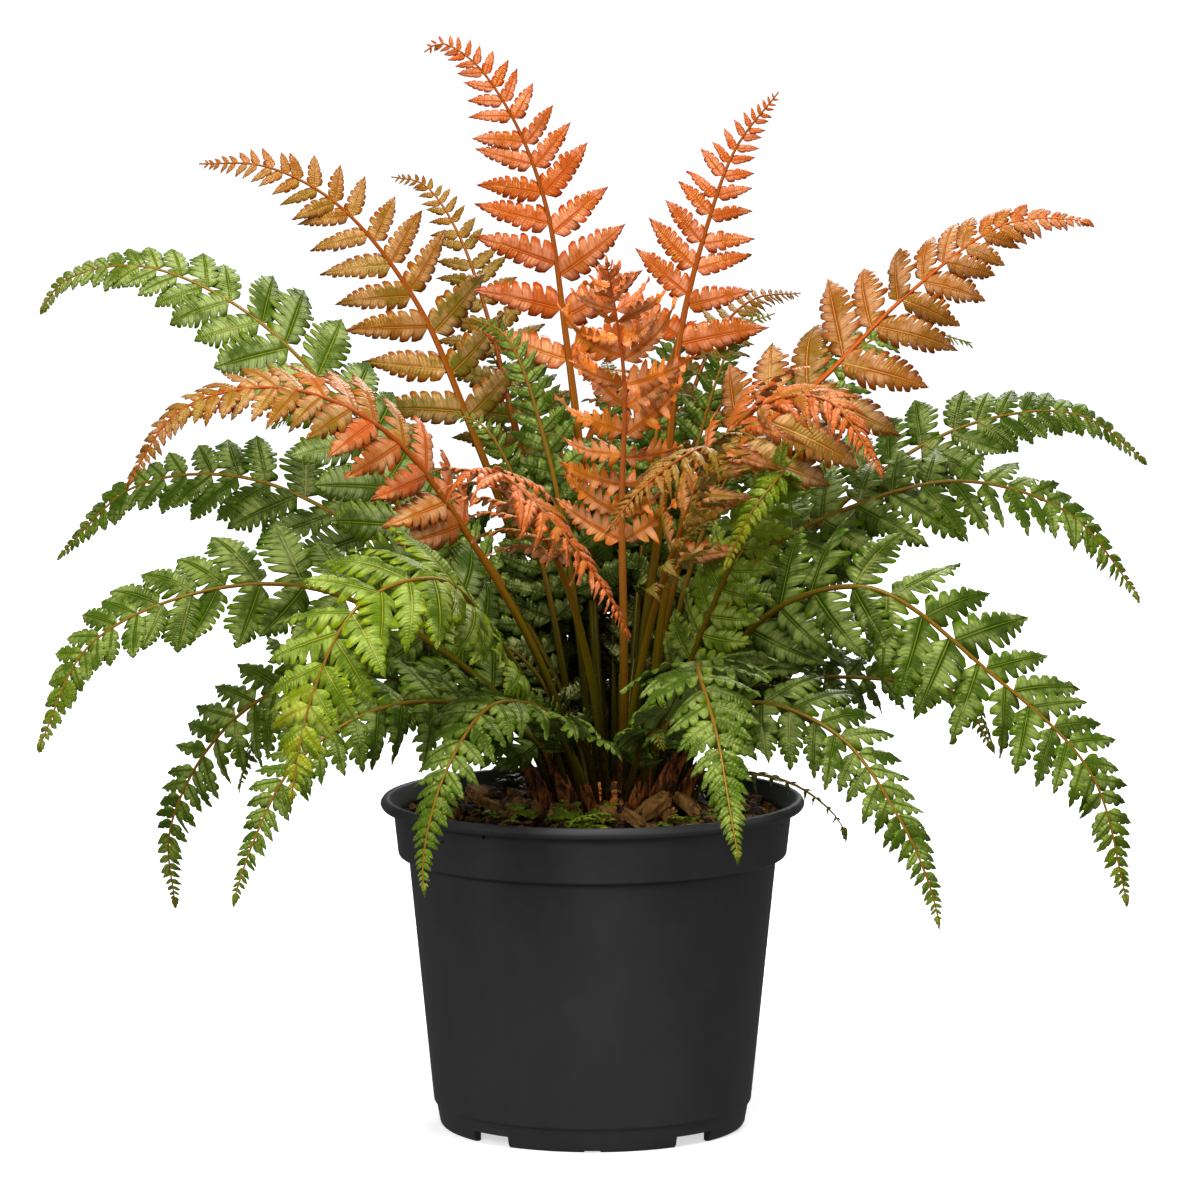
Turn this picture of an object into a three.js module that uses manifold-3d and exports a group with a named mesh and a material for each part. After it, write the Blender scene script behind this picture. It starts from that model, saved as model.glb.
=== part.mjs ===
// A potted autumn fern: a round nursery pot, the mix in it, the crown, and a node for each frond.
// Millimetres, +Z up. The origin is on the pot's axis, on the ground under its feet.
// The photo's viewer stands on the -Y side.

import * as THREE from 'three';
import { mergeVertices } from 'three/addons/utils/BufferGeometryUtils.js';
import Module from 'manifold-3d';

// Pot: outside from the foot up and inside from the floor up, as [radius, height]
const POT_HEIGHT = 148;
const POT_SIDES = 36;
const FOOT_INNER_RADIUS = 64.5;
const FLOOR_UNDERSIDE = 5;
const FLOOR_TOP = 7.5;
const POT_OUTSIDE = [
  [FOOT_INNER_RADIUS, 0],
  [67.6, 0],
  [68.5, 1.6],
  [70, 10],
  [71.2, 11],
  [82.2, 121],
  [86.8, 122.6],
  [89, 142.4],
  [93.8, 143.2],
  [95, 145.4],
  [93.4, POT_HEIGHT],
];
const POT_INSIDE = [
  [67.9, FLOOR_TOP],
  [80.2, 119.6],
  [84.8, 124.5],
  [86.8, 141],
  [91, POT_HEIGHT],
];
const NOTCH_AZIMUTHS = [-49, -131, 49, 131];
const NOTCH_WIDTH = 20;
const NOTCH_HEIGHT = 8.5;
const NOTCH_DEPTH = 14;
const SKIRT_DEPTH = 3.4;
const DRAIN_RADIUS = 5;
const DRAIN_SIDES = 10;
const DRAIN_CIRCLE = 42;
const DRAIN_HOLES = 4;

// Mix: it follows the pot's inside a fit gap away and is heaped a little in the middle
const FIT_GAP = 0.3;
const SOIL_PROFILE = [
  [0, FLOOR_TOP + FIT_GAP],
  [67.5, FLOOR_TOP + FIT_GAP],
  [79.8, 119.9],
  [84.4, 124.8],
  [86.2, 139],
  [60, 141.4],
  [0, 144],
];

// Crown: a low rootstock, wider at the top than below, sunk in the mix
const CROWN_CENTRE = [11, -5];
const CROWN_SIDES = 12;
const CROWN_PROFILE = [
  [0, 112],
  [10, 112],
  [32, 140],
  [29, 149],
  [25, 152],
  [0, 152],
];
const CROWN_SUNK_ROWS = 3;
const ABOVE_CROWN = 170;

// Fronds
const BLADE = 0.8;
const STALK_HALF_WIDTH = 2.6;
const STALK_HEIGHT = 3.6;
const STALK_TOP_HEIGHT = 2.2;
const RACHIS_HALF_WIDTH = 1.5;
const TIP_HALF_WIDTH = 0.5;
const FIRST_STALK_STEP = 30;
const STALK_STEP = 45;
const TIP_LENGTH = 7;
const SMALLEST_SPACING = 10;
const SPACING_SHARE = 0.66;
const WIDTH_SHARE = 0.45;
const NECKED_FROM = 33;
const NECK_FAR = 0.12;
const NECK_NEAR = 0.7;
const TAPER_LENGTH = 132;

const COLOURS = {
  pot: 0x2d2d2e,
  soil: 0x3c2415,
  crown: 0x6b3f20,
  orange: 0xc75f2e,
  salmon: 0xc9714c,
  copper: 0xa5652a,
  bronze: 0x8f6a2c,
  green: 0x45701f,
  dark: 0x35591c,
  lime: 0x7fa51f,
};

// Each frond: name, colour, share of its length that is bare stalk, longest leaflet, whether its
// leaflets are cut finely, which way its upper face looks near the foot and at the tip, and the
// points its stalk and rachis run through, from the crown to the tip.
const FRONDS = [
  ['tall_left', 'orange', 0.50, 39, true, [0.1, -1, 0], [0, -1, 0.2],
    [[6, 4, 138], [2, 14, 200], [-3, 26, 275], [-12, 40, 351], [-21, 50, 409], [-36, 58, 448],
      [-55, 65, 474], [-69, 69, 481], [-76, 70, 477]]],
  ['tall_right', 'orange', 0.60, 38, true, [0, -1, 0], [0.1, -1, 0.2],
    [[17, 3, 138], [22, 8, 210], [33, 16, 290], [39, 28, 351], [52, 44, 402], [65, 58, 435],
      [84, 68, 459]]],
  ['tall_middle', 'orange', 0.46, 31, true, [0, -1, -0.2], [0, -1, -0.2],
    [[13, -11, 138], [14, -14, 210], [13, -22, 280], [14, -40, 336], [10, -62, 370],
      [6, -88, 393]]],
  ['copper_back_left', 'copper', 0.54, 37, true, [0.3, -0.9, 0.3], [0, -0.8, 0.5],
    [[-2, 5, 138], [-22, 26, 220], [-55, 50, 309], [-81, 66, 366], [-116, 76, 408],
      [-149, 80, 425], [-179, 82, 426]]],
  ['bronze_back_left', 'bronze', 0.56, 31, true, [0.3, -0.9, 0.2], [0, -0.9, 0.4],
    [[3, 9, 138], [-3, 25, 190], [-16, 50, 240], [-34, 84, 299], [-47, 112, 349],
      [-63, 136, 392], [-79, 150, 413], [-94, 156, 416]]],
  ['copper_right', 'copper', 0.46, 38, true, [-0.4, -0.9, 0.2], [0, -0.7, 0.6],
    [[26, -6, 138], [30, -10, 215], [54, -10, 293], [102, -8, 336], [141, -10, 375],
      [183, -14, 405], [216, -18, 406], [217, -20, 405]]],
  ['bronze_back_right', 'bronze', 0.52, 30, true, [-0.3, -0.9, 0.3], [0.1, -0.7, 0.6],
    [[16, 8, 138], [22, 26, 190], [29, 42, 235], [42, 68, 310], [57, 100, 346], [75, 130, 361],
      [97, 152, 362]]],
  ['salmon_left', 'salmon', 0.5, 31, true, [0.3, -0.6, 0.7], [-0.1, -0.5, 0.85],
    [[-5, -9, 138], [-18, -30, 200], [-52, -48, 267], [-91, -66, 319], [-134, -80, 338],
      [-176, -94, 330], [-199, -104, 299]]],
  ['salmon_front', 'salmon', 0.5, 26, true, [0.3, 0.6, 0.7], [0.1, -0.35, 0.9],
    [[8, -20, 138], [-1, -62, 212], [-17, -108, 270], [-44, -150, 308], [-38, -168, 310],
      [-14, -190, 290], [8, -202, 261], [16, -204, 246]]],
  ['salmon_right', 'salmon', 0.46, 31, true, [-0.4, -0.6, 0.7], [0.2, -0.55, 0.8],
    [[22, -17, 138], [32, -38, 242], [46, -54, 291], [70, -76, 328], [100, -106, 335],
      [123, -138, 307]]],
  ['copper_front_low', 'bronze', 0.46, 26, false, [0, 0.5, 0.8], [-0.3, -0.9, 0.4],
    [[14, -20, 138], [17, -42, 186], [28, -72, 245], [44, -106, 296], [48, -138, 318],
      [33, -162, 313], [18, -178, 302], [6, -190, 288]]],
  ['lime_small', 'lime', 0.5, 24, false, [-0.3, -0.6, 0.7], [-0.2, -0.9, 0.3],
    [[26, -14, 138], [36, -26, 190], [59, -48, 254], [82, -71, 300], [83, -85, 303],
      [68, -100, 286], [57, -109, 264]]],
  ['green_high_left', 'green', 0.44, 33, true, [0.2, -0.6, 0.8], [0, -0.7, 0.7],
    [[-7, 1, 138], [-17, 0, 178], [-49, -2, 218], [-82, 0, 272], [-121, 10, 333],
      [-162, 22, 368], [-205, 34, 383], [-238, 42, 375], [-248, 44, 362]]],
  ['green_mid_left', 'dark', 0.44, 33, true, [0.1, -0.7, 0.7], [-0.2, -0.7, 0.7],
    [[-13, 3, 138], [-22, 9, 172], [-56, 24, 222], [-110, 44, 266], [-160, 62, 285],
      [-209, 76, 279], [-245, 84, 246]]],
  ['green_low_left', 'green', 0.40, 33, true, [0.1, -0.6, 0.8], [-0.3, -0.8, 0.5],
    [[-12, -10, 138], [-24, -15, 175], [-66, -21, 216], [-120, -34, 245], [-170, -48, 246],
      [-219, -62, 224], [-241, -70, 180]]],
  ['green_droop_left', 'green', 0.36, 31, true, [0.1, -0.6, 0.8], [-0.4, -0.9, 0.2],
    [[-14, -5, 138], [-30, -5, 175], [-80, 0, 200], [-138, 5, 196], [-170, 9, 171],
      [-190, 12, 130], [-188, 14, 96]]],
  ['green_droop_front_left', 'green', 0.34, 30, true, [0.1, -0.5, 0.9], [-0.4, -0.9, 0.1],
    [[-9, -16, 138], [-22, -24, 172], [-56, -50, 196], [-96, -78, 197], [-129, -99, 176],
      [-146, -112, 144], [-154, -118, 120]]],
  ['lime_front_left', 'lime', 0.42, 34, true, [0.2, -0.2, 0.9], [-0.3, -0.9, 0.2],
    [[-6, -21, 138], [-22, -42, 190], [-42, -74, 230], [-66, -112, 259], [-99, -144, 251],
      [-118, -164, 214], [-126, -176, 174]]],
  ['green_front_left', 'green', 0.36, 30, true, [0.2, 0.3, 0.9], [-0.3, -0.9, 0.1],
    [[2, -24, 138], [-2, -38, 172], [-18, -74, 196], [-43, -108, 204], [-62, -138, 180],
      [-71, -158, 148], [-71, -166, 133]]],
  ['green_front_right', 'green', 0.36, 34, true, [-0.2, 0.4, 0.9], [0.1, -0.95, 0.2],
    [[20, -26, 138], [26, -44, 178], [44, -78, 217], [46, -118, 218], [53, -156, 196],
      [58, -182, 168], [61, -194, 152]]],
  ['green_droop_right', 'green', 0.36, 32, true, [-0.1, -0.4, 0.9], [0.4, -0.9, 0.1],
    [[29, -20, 138], [38, -26, 172], [68, -44, 196], [107, -66, 185], [134, -90, 150],
      [145, -99, 126], [150, -104, 108]]],
  ['green_big_right', 'green', 0.36, 36, true, [-0.1, -0.7, 0.7], [0.3, -0.9, 0.3],
    [[33, -13, 138], [42, -17, 178], [76, -28, 232], [121, -44, 247], [174, -58, 211],
      [217, -70, 169], [233, -78, 113]]],
  ['green_mid_right', 'green', 0.42, 34, true, [-0.1, -0.6, 0.8], [0.2, -0.7, 0.7],
    [[36, -4, 138], [44, -1, 180], [73, 8, 252], [118, 16, 277], [166, 24, 287], [214, 26, 272],
      [246, 26, 234]]],
  ['green_high_right', 'dark', 0.50, 30, true, [-0.1, -0.6, 0.8], [0.2, -0.7, 0.7],
    [[32, 6, 138], [42, 12, 178], [82, 30, 244], [138, 48, 294], [182, 62, 312], [222, 74, 312],
      [253, 83, 290]]],
  ['green_low_right', 'dark', 0.40, 27, false, [0, -0.6, 0.8], [0.2, -0.9, 0.3],
    [[37, 3, 138], [48, 8, 172], [84, 18, 196], [130, 27, 197], [164, 33, 190], [181, 36, 164]]],
  ['old_thin_right', 'dark', 0.52, 9, false, [0, -0.3, 0.9], [0.2, -0.8, 0.5],
    [[40, -17, 138], [49, -20, 156], [69, -26, 162], [90, -35, 158], [106, -44, 147],
      [112, -48, 138]]],
  ['green_back_left', 'dark', 0.32, 30, false, [0.2, -0.7, 0.7], [-0.2, -0.5, 0.8],
    [[-5, 10, 138], [-14, 22, 180], [-46, 50, 228], [-90, 90, 290], [-122, 122, 314],
      [-150, 146, 300]]],
  ['green_back_right', 'dark', 0.32, 30, false, [-0.2, -0.7, 0.7], [0.2, -0.5, 0.8],
    [[23, 12, 138], [32, 32, 180], [60, 64, 240], [104, 92, 325], [142, 116, 348],
      [176, 136, 340]]],
  ['back_high', 'copper', 0.44, 32, false, [0, -0.6, 0.7], [0, 0.8, 0.6],
    [[10, 13, 138], [15, 44, 225], [20, 94, 290], [18, 144, 325], [12, 184, 314],
      [10, 205, 280]]],
  ['back_low_left', 'green', 0.32, 31, false, [0, -0.7, 0.7], [-0.4, 0.8, 0.3],
    [[0, 17, 138], [-8, 34, 175], [-28, 70, 208], [-57, 112, 228], [-84, 154, 204],
      [-98, 180, 160]]],
  ['back_low_right', 'green', 0.36, 30, false, [0, -0.7, 0.7], [0.3, 0.8, 0.3],
    [[17, 19, 138], [26, 32, 175], [46, 68, 214], [68, 110, 236], [92, 154, 214],
      [106, 182, 172]]],
  ['back_low_middle', 'green', 0.28, 31, false, [0, -0.7, 0.7], [0, 0.9, 0.3],
    [[9, 20, 138], [11, 34, 172], [12, 76, 204], [10, 126, 214], [8, 176, 188], [8, 206, 142]]],
  ['back_side_left', 'green', 0.36, 31, false, [0, -0.6, 0.8], [-0.7, 0.5, 0.3],
    [[-11, 8, 138], [-20, 18, 168], [-56, 46, 188], [-112, 84, 196], [-150, 112, 170],
      [-166, 126, 132]]],
  ['back_side_right', 'green', 0.38, 31, false, [0, -0.6, 0.8], [0.7, 0.5, 0.3],
    [[30, 15, 138], [40, 26, 170], [80, 51, 199], [130, 86, 212], [168, 116, 192],
      [188, 130, 150]]],
  ['inner_left', 'green', 0.34, 25, false, [0.2, -0.6, 0.7], [-0.2, -0.7, 0.6],
    [[0, -2, 138], [-8, 4, 178], [-28, 16, 222], [-56, 24, 262], [-84, 28, 282],
      [-108, 30, 274]]],
  ['inner_right', 'dark', 0.28, 25, false, [-0.2, -0.6, 0.7], [0.2, -0.7, 0.6],
    [[24, 6, 138], [32, 22, 180], [52, 42, 226], [74, 54, 258], [98, 60, 268], [116, 64, 256]]],
  ['green_inner_left', 'green', 0.42, 30, false, [0.1, -0.8, 0.6], [-0.1, -0.9, 0.3],
    [[-9, 15, 138], [-15, 32, 180], [-19, 62, 218], [-28, 100, 275], [-40, 120, 320],
      [-50, 128, 343]]],
];

// Leaflet outlines, from the smallest leaflets to the largest: how far out along the leaflet
// each pair of edge points stands, and how wide apart, as a share of the leaflet's width
const CUTS = [
  [],
  [[0.4, 0.95]],
  [[0.2, 0.95], [0.62, 0.8]],
  [[0.2, 1.0], [0.42, 0.66], [0.62, 0.86]],
];
const FINE_LENGTHS = [15, 28, 35];
const PLAIN_LENGTHS = [16, 34];

// Flat faces cut by holes are put together again, and edges shorter than this are closed up
const SLIVER = 0.01;

const wasm = await Module();
wasm.setup();

let seed = 11;

function random() {
  seed = (seed * 16807) % 2147483647;
  return seed / 2147483647;
}

function mix(a, b, share) {
  return a + (b - a) * share;
}

// Corner points and triangles of a piece that is put together face by face
class Faces {
  constructor() {
    this.points = [];
    this.triangles = [];
  }

  point(vector) {
    this.points.push(vector.x, vector.y, vector.z);
    return this.points.length / 3 - 1;
  }

  triangle(a, b, c, flip = false) {
    if (flip) this.triangles.push(a, c, b);
    else this.triangles.push(a, b, c);
  }

  quad(a, b, c, d, flip = false) {
    this.triangle(a, b, c, flip);
    this.triangle(a, c, d, flip);
  }

  geometry() {
    const geometry = new THREE.BufferGeometry();
    geometry.setAttribute('position', new THREE.Float32BufferAttribute(this.points, 3));
    geometry.setIndex(this.triangles);
    return geometry;
  }
}

// Where the stalk's rings and the leaflet pairs sit, as distances from the frond's foot.
// The spacing follows the leaflet length, and the largest leaflets stand on a narrow neck.
function stationsOf(length, bare, reach) {
  const blade = [{ at: length - TIP_LENGTH, leafy: false }];
  let fromTip = TIP_LENGTH;
  while (length - fromTip > bare * length) {
    const size = leafletLength(fromTip, reach);
    const step = Math.max(SMALLEST_SPACING, SPACING_SHARE * size);
    if (size > NECKED_FROM) {
      blade.unshift({ at: length - fromTip - NECK_FAR * step, leafy: false });
      blade.unshift({ at: length - fromTip - NECK_NEAR * step, leafy: true });
    } else {
      blade.unshift({ at: length - fromTip - step, leafy: true });
    }
    fromTip += step;
  }
  const start = blade[0].at;
  const steps = Math.max(1, Math.round((start - FIRST_STALK_STEP) / STALK_STEP));
  const stalk = [{ at: 0, leafy: false }];
  for (let i = 0; i < steps; i += 1) {
    stalk.push({ at: mix(FIRST_STALK_STEP, start, i / steps), leafy: false });
  }
  return [...stalk, ...blade];
}

function leafletLength(fromTip, reach) {
  return reach * Math.min(1, fromTip / TAPER_LENGTH) + 1.5;
}

function frameAt(curve, share, faces) {
  const middle = curve.getPointAt(share);
  const along = curve.getTangentAt(share);
  const up = faces[0].clone().lerp(faces[1], share);
  up.addScaledVector(along, -up.dot(along)).normalize();
  const side = new THREE.Vector3().crossVectors(up, along);
  return { middle, along, up, side };
}

// Half width and side height of the stalk or rachis
function girthAt(share, start) {
  if (share < start - 0.001) {
    const down = share / start;
    return {
      half: mix(STALK_HALF_WIDTH, RACHIS_HALF_WIDTH, down),
      height: mix(STALK_HEIGHT, STALK_TOP_HEIGHT, down),
    };
  }
  const half = mix(RACHIS_HALF_WIDTH, TIP_HALF_WIDTH, (share - start) / (1 - start));
  return { half, height: BLADE };
}

// A four-cornered section, seen from the tip: upper right, upper left, lower left, lower right
function ring(body, frame, half, height) {
  const place = (s, u) => body.point(frame.middle.clone()
    .addScaledVector(frame.side, s).addScaledVector(frame.up, u));
  return [
    place(half, height / 2),
    place(-half, height / 2),
    place(-half, -height / 2),
    place(half, -height / 2),
  ];
}

// One leaflet grown out of the rachis side between two rings
function leaflet(body, low, high, frame, side, size) {
  const flip = side < 0;
  const tops = flip ? [low[1], high[1]] : [low[0], high[0]];
  const bottoms = flip ? [low[2], high[2]] : [low[3], high[3]];
  const turn = THREE.MathUtils.degToRad(size.angle);
  const outward = frame.side.clone().multiplyScalar(side);
  const axis = frame.along.clone().multiplyScalar(Math.cos(turn))
    .addScaledVector(outward, Math.sin(turn));
  const cross = frame.along.clone().multiplyScalar(Math.sin(turn))
    .addScaledVector(outward, -Math.cos(turn));
  const place = (out, wide) => {
    const middle = size.root.clone().addScaledVector(axis, out * size.length)
      .addScaledVector(cross, wide * size.width / 2)
      .addScaledVector(frame.up, -size.droop * size.length * out * out);
    return [
      body.point(middle.clone().addScaledVector(frame.up, BLADE / 2)),
      body.point(middle.clone().addScaledVector(frame.up, -BLADE / 2)),
    ];
  };
  const near = [[tops[0], bottoms[0]], ...size.cut.map(([out, wide]) => place(out, -wide))];
  const far = [[tops[1], bottoms[1]], ...size.cut.map(([out, wide]) => place(out, wide))];
  const tip = place(1, 0.1);
  for (let i = 0; i + 1 < near.length; i += 1) {
    body.quad(near[i][0], far[i][0], far[i + 1][0], near[i + 1][0], flip);
    body.quad(near[i][1], far[i][1], far[i + 1][1], near[i + 1][1], !flip);
  }
  const last = near.length - 1;
  body.triangle(near[last][0], far[last][0], tip[0], flip);
  body.triangle(near[last][1], far[last][1], tip[1], !flip);
  const rim = [...near, tip, ...far.reverse()];
  for (let i = 0; i + 1 < rim.length; i += 1) {
    body.quad(rim[i][0], rim[i + 1][0], rim[i + 1][1], rim[i][1], flip);
  }
}

function cutOf(length, fine) {
  const steps = fine ? FINE_LENGTHS : PLAIN_LENGTHS;
  return CUTS[steps.filter((from) => length > from).length];
}

function frondCurve(route) {
  const points = route.map((p) => new THREE.Vector3(...p));
  const curve = new THREE.CatmullRomCurve3(points, false, 'centripetal');
  curve.arcLengthDivisions = 400;
  return curve;
}

function shapeOf([, , bare, reach, fine, facesFoot, facesTip, route]) {
  const curve = frondCurve(route);
  const length = curve.getLength();
  const faces = [new THREE.Vector3(...facesFoot), new THREE.Vector3(...facesTip)];
  const stations = stationsOf(length, bare, reach);
  const start = stations.find((station) => station.leafy).at / length;
  return { curve, length, faces, stations, start, reach, fine };
}

function frondGeometry(frond) {
  const shape = shapeOf(frond);
  const { curve, length, faces, stations, start } = shape;
  const body = new Faces();
  const rings = stations.map(({ at }) => {
    const { half, height } = girthAt(at / length, start);
    return ring(body, frameAt(curve, at / length, faces), half, height);
  });
  const foot = rings[0];
  body.quad(foot[3], foot[2], foot[1], foot[0]);
  for (let i = 0; i + 1 < rings.length; i += 1) {
    const { leafy } = stations[i];
    for (let k = 0; k < 4; k += 1) {
      if (leafy && k % 2 === 1) continue;
      const n = (k + 1) % 4;
      body.quad(rings[i][k], rings[i][n], rings[i + 1][n], rings[i + 1][k]);
    }
    if (leafy) pair(body, rings, i, shape);
  }
  const end = rings[rings.length - 1];
  const point = body.point(curve.getPointAt(1));
  for (let k = 0; k < 4; k += 1) body.triangle(end[k], end[(k + 1) % 4], point);
  return body.geometry();
}

function pair(body, rings, i, shape) {
  const { curve, length, faces, stations, start, reach, fine } = shape;
  const share = (stations[i].at + stations[i + 1].at) / 2 / length;
  const frame = frameAt(curve, share, faces);
  const fromTip = length * (1 - share);
  const full = leafletLength(fromTip, reach);
  const step = Math.max(SMALLEST_SPACING, SPACING_SHARE * full);
  const { half } = girthAt(share, start);
  for (const side of [1, -1]) {
    const long = full * mix(0.94, 1.04, random());
    leaflet(body, rings[i], rings[i + 1], frame, side, {
      root: frame.middle.clone().addScaledVector(frame.side, side * half * 0.8),
      length: long,
      width: Math.min(long * WIDTH_SHARE, step * 0.8),
      angle: mix(54, 66, Math.min(1, fromTip / 150)) + mix(-2, 2, random()),
      droop: mix(0.12, 0.22, random()),
      cut: cutOf(full, fine),
    });
  }
}

function meshFrom(name, geometry, colour, roughness) {
  geometry.computeVertexNormals();
  const material = new THREE.MeshStandardMaterial({ color: colour, roughness, metalness: 0 });
  const mesh = new THREE.Mesh(geometry, material);
  mesh.name = name;
  return mesh;
}

// A closed geometry as a solid: each corner point once, and no triangle without an area
function solidFrom(geometry) {
  geometry.deleteAttribute('normal');
  geometry.deleteAttribute('uv');
  const merged = mergeVertices(geometry, 0.001);
  const corners = [];
  for (let i = 0; i < merged.index.count; i += 3) {
    const [a, b, c] = merged.index.array.slice(i, i + 3);
    if (a !== b && b !== c && c !== a) corners.push(a, b, c);
  }
  return new wasm.Manifold(new wasm.Mesh({
    numProp: 3,
    vertProperties: new Float32Array(merged.attributes.position.array),
    triVerts: new Uint32Array(corners),
  }));
}

function geometryFrom(solid) {
  const mesh = solid.asOriginal().simplify(SLIVER).getMesh();
  const geometry = new THREE.BufferGeometry();
  const points = Array.from(mesh.vertProperties);
  geometry.setAttribute('position', new THREE.Float32BufferAttribute(points, 3));
  geometry.setIndex(Array.from(mesh.triVerts));
  return geometry;
}

// The profile runs from the axis up the outside and back to the axis
function turned(profile, sides) {
  const points = profile.map(([radius, height]) => new THREE.Vector2(radius, height));
  return new THREE.LatheGeometry(points, sides).rotateX(Math.PI / 2);
}

function radians(degrees) {
  return THREE.MathUtils.degToRad(degrees);
}

// A block standing across the ground line at a distance from the axis
function notchBlock(azimuth, depth, height, distance) {
  return solidFrom(new THREE.BoxGeometry(depth, NOTCH_WIDTH, 2 * height)
    .translate(distance, 0, 0).rotateZ(radians(azimuth)));
}

function drainHole(azimuth) {
  const hole = new THREE.CylinderGeometry(DRAIN_RADIUS, DRAIN_RADIUS, 10, DRAIN_SIDES);
  return solidFrom(hole.rotateX(Math.PI / 2)
    .translate(DRAIN_CIRCLE, 0, FLOOR_TOP).rotateZ(radians(azimuth)));
}

function makePot() {
  const outside = turned([[0, 0], ...POT_OUTSIDE, [0, POT_HEIGHT]], POT_SIDES);
  const above = POT_HEIGHT + 2;
  const [mouth] = POT_INSIDE[POT_INSIDE.length - 1];
  const inside = turned([[0, FLOOR_TOP], ...POT_INSIDE, [mouth, above], [0, above]], POT_SIDES);
  const under = turned([[0, -1], [FOOT_INNER_RADIUS, -1], [FOOT_INNER_RADIUS, FLOOR_UNDERSIDE],
    [0, FLOOR_UNDERSIDE]], POT_SIDES);
  let pot = solidFrom(outside).subtract(solidFrom(inside)).subtract(solidFrom(under));
  for (const azimuth of NOTCH_AZIMUTHS) {
    pot = pot.subtract(notchBlock(azimuth, NOTCH_DEPTH, FLOOR_UNDERSIDE, 68));
    pot = pot.subtract(notchBlock(azimuth, SKIRT_DEPTH, NOTCH_HEIGHT, 70.9));
  }
  for (let k = 0; k < DRAIN_HOLES; k += 1) {
    pot = pot.subtract(drainHole((k * 360) / DRAIN_HOLES));
  }
  return meshFrom('pot', geometryFrom(pot), COLOURS.pot, 0.45);
}

// A turned shape made uneven round its axis and stood at the crown's place
function crownLike(profile) {
  const geometry = turned(profile, CROWN_SIDES);
  const place = geometry.attributes.position;
  for (let i = 0; i < place.count; i += 1) {
    const turn = Math.atan2(place.getY(i), place.getX(i));
    const uneven = 1 + 0.05 * Math.sin(2 * turn + 1) + 0.04 * Math.sin(5 * turn);
    place.setXY(i, place.getX(i) * uneven, place.getY(i) * uneven);
  }
  return solidFrom(geometry.translate(CROWN_CENTRE[0], CROWN_CENTRE[1], 0));
}

function makeSoil() {
  const sunk = CROWN_PROFILE.slice(0, CROWN_SUNK_ROWS)
    .map(([radius, height]) => [radius && radius + 1.4 * FIT_GAP, height - FIT_GAP]);
  const [brim] = sunk[sunk.length - 1];
  const recess = crownLike([...sunk, [brim, ABOVE_CROWN], [0, ABOVE_CROWN]]);
  let soil = solidFrom(turned(SOIL_PROFILE, POT_SIDES)).subtract(recess);
  for (const frond of FRONDS) soil = soil.subtract(stalkHole(frond));
  return meshFrom('soil', geometryFrom(soil), COLOURS.soil, 0.95);
}

// The plain hole a stalk stands in: the stalk's first length, a little wider all round
function stalkHole(frond) {
  const { curve, length, faces, stations, start } = shapeOf(frond);
  const body = new Faces();
  const [low, high] = [0, 1].map((i) => {
    const share = stations[i].at / length;
    const { half, height } = girthAt(share, start);
    const frame = frameAt(curve, share, faces);
    if (i === 0) frame.middle.addScaledVector(frame.along, -FIT_GAP);
    return ring(body, frame, half + FIT_GAP, height + 2 * FIT_GAP);
  });
  body.quad(low[3], low[2], low[1], low[0]);
  body.quad(high[0], high[1], high[2], high[3]);
  for (let k = 0; k < 4; k += 1) {
    const n = (k + 1) % 4;
    body.quad(low[k], low[n], high[n], high[k]);
  }
  return solidFrom(body.geometry());
}

function makeCrown() {
  let crown = crownLike(CROWN_PROFILE);
  for (const frond of FRONDS) crown = crown.subtract(stalkHole(frond));
  return meshFrom('crown', geometryFrom(crown), COLOURS.crown, 0.9);
}

const fern = new THREE.Group();
fern.name = 'potted_autumn_fern';
fern.add(makePot());
fern.add(makeSoil());
fern.add(makeCrown());
for (const frond of FRONDS) {
  const [name, colour] = frond;
  fern.add(meshFrom(`frond_${name}`, frondGeometry(frond), COLOURS[colour], 0.55));
}

export default fern;
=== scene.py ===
# %% [markdown]
# # A potted autumn fern
#
# A garden fern in a round nursery pot. Young fronds come up orange and salmon, turn copper, and
# end deep green, so one plant carries all of these colours at once. The imported model gives the
# frame: where the pot stands, how each stalk runs, and how far every frond reaches. This script
# dresses that frame. It swaps each plain frond for one with lobed, veined leaflets, turns a
# smooth pot, and fills it with bark, crumbs and moss.
#
# We load the frame first.

# %% Load the frame
import math
from collections import namedtuple

import bpy
import numpy as np
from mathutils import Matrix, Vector


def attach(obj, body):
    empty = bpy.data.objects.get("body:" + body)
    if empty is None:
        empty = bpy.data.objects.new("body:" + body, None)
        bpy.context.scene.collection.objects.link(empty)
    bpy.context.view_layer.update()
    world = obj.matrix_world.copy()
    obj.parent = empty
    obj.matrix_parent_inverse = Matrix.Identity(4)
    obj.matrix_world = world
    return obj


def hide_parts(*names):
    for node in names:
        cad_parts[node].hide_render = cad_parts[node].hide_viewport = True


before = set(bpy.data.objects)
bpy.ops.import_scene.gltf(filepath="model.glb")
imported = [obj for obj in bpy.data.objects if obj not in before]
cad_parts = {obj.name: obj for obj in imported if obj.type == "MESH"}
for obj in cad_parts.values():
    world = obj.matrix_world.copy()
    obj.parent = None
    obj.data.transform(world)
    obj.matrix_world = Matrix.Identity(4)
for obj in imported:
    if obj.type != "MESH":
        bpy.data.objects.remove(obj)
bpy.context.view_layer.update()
MM = 0.001

# %% [markdown]
# # The camera
#
# The plant was seen from a little above its leaves, from far off, with a long lens. A long lens
# keeps the pot's sides nearly straight. We put the camera 2.75 m in front of the pot, and tip it
# down by seven degrees.

# %% Place the camera
CAMERA_PLACE = (0.00335, -2.754, 0.5744)
CAMERA_TILT = 83
LENS_LENGTH = 186.93
SENSOR_WIDTH = 36

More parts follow.
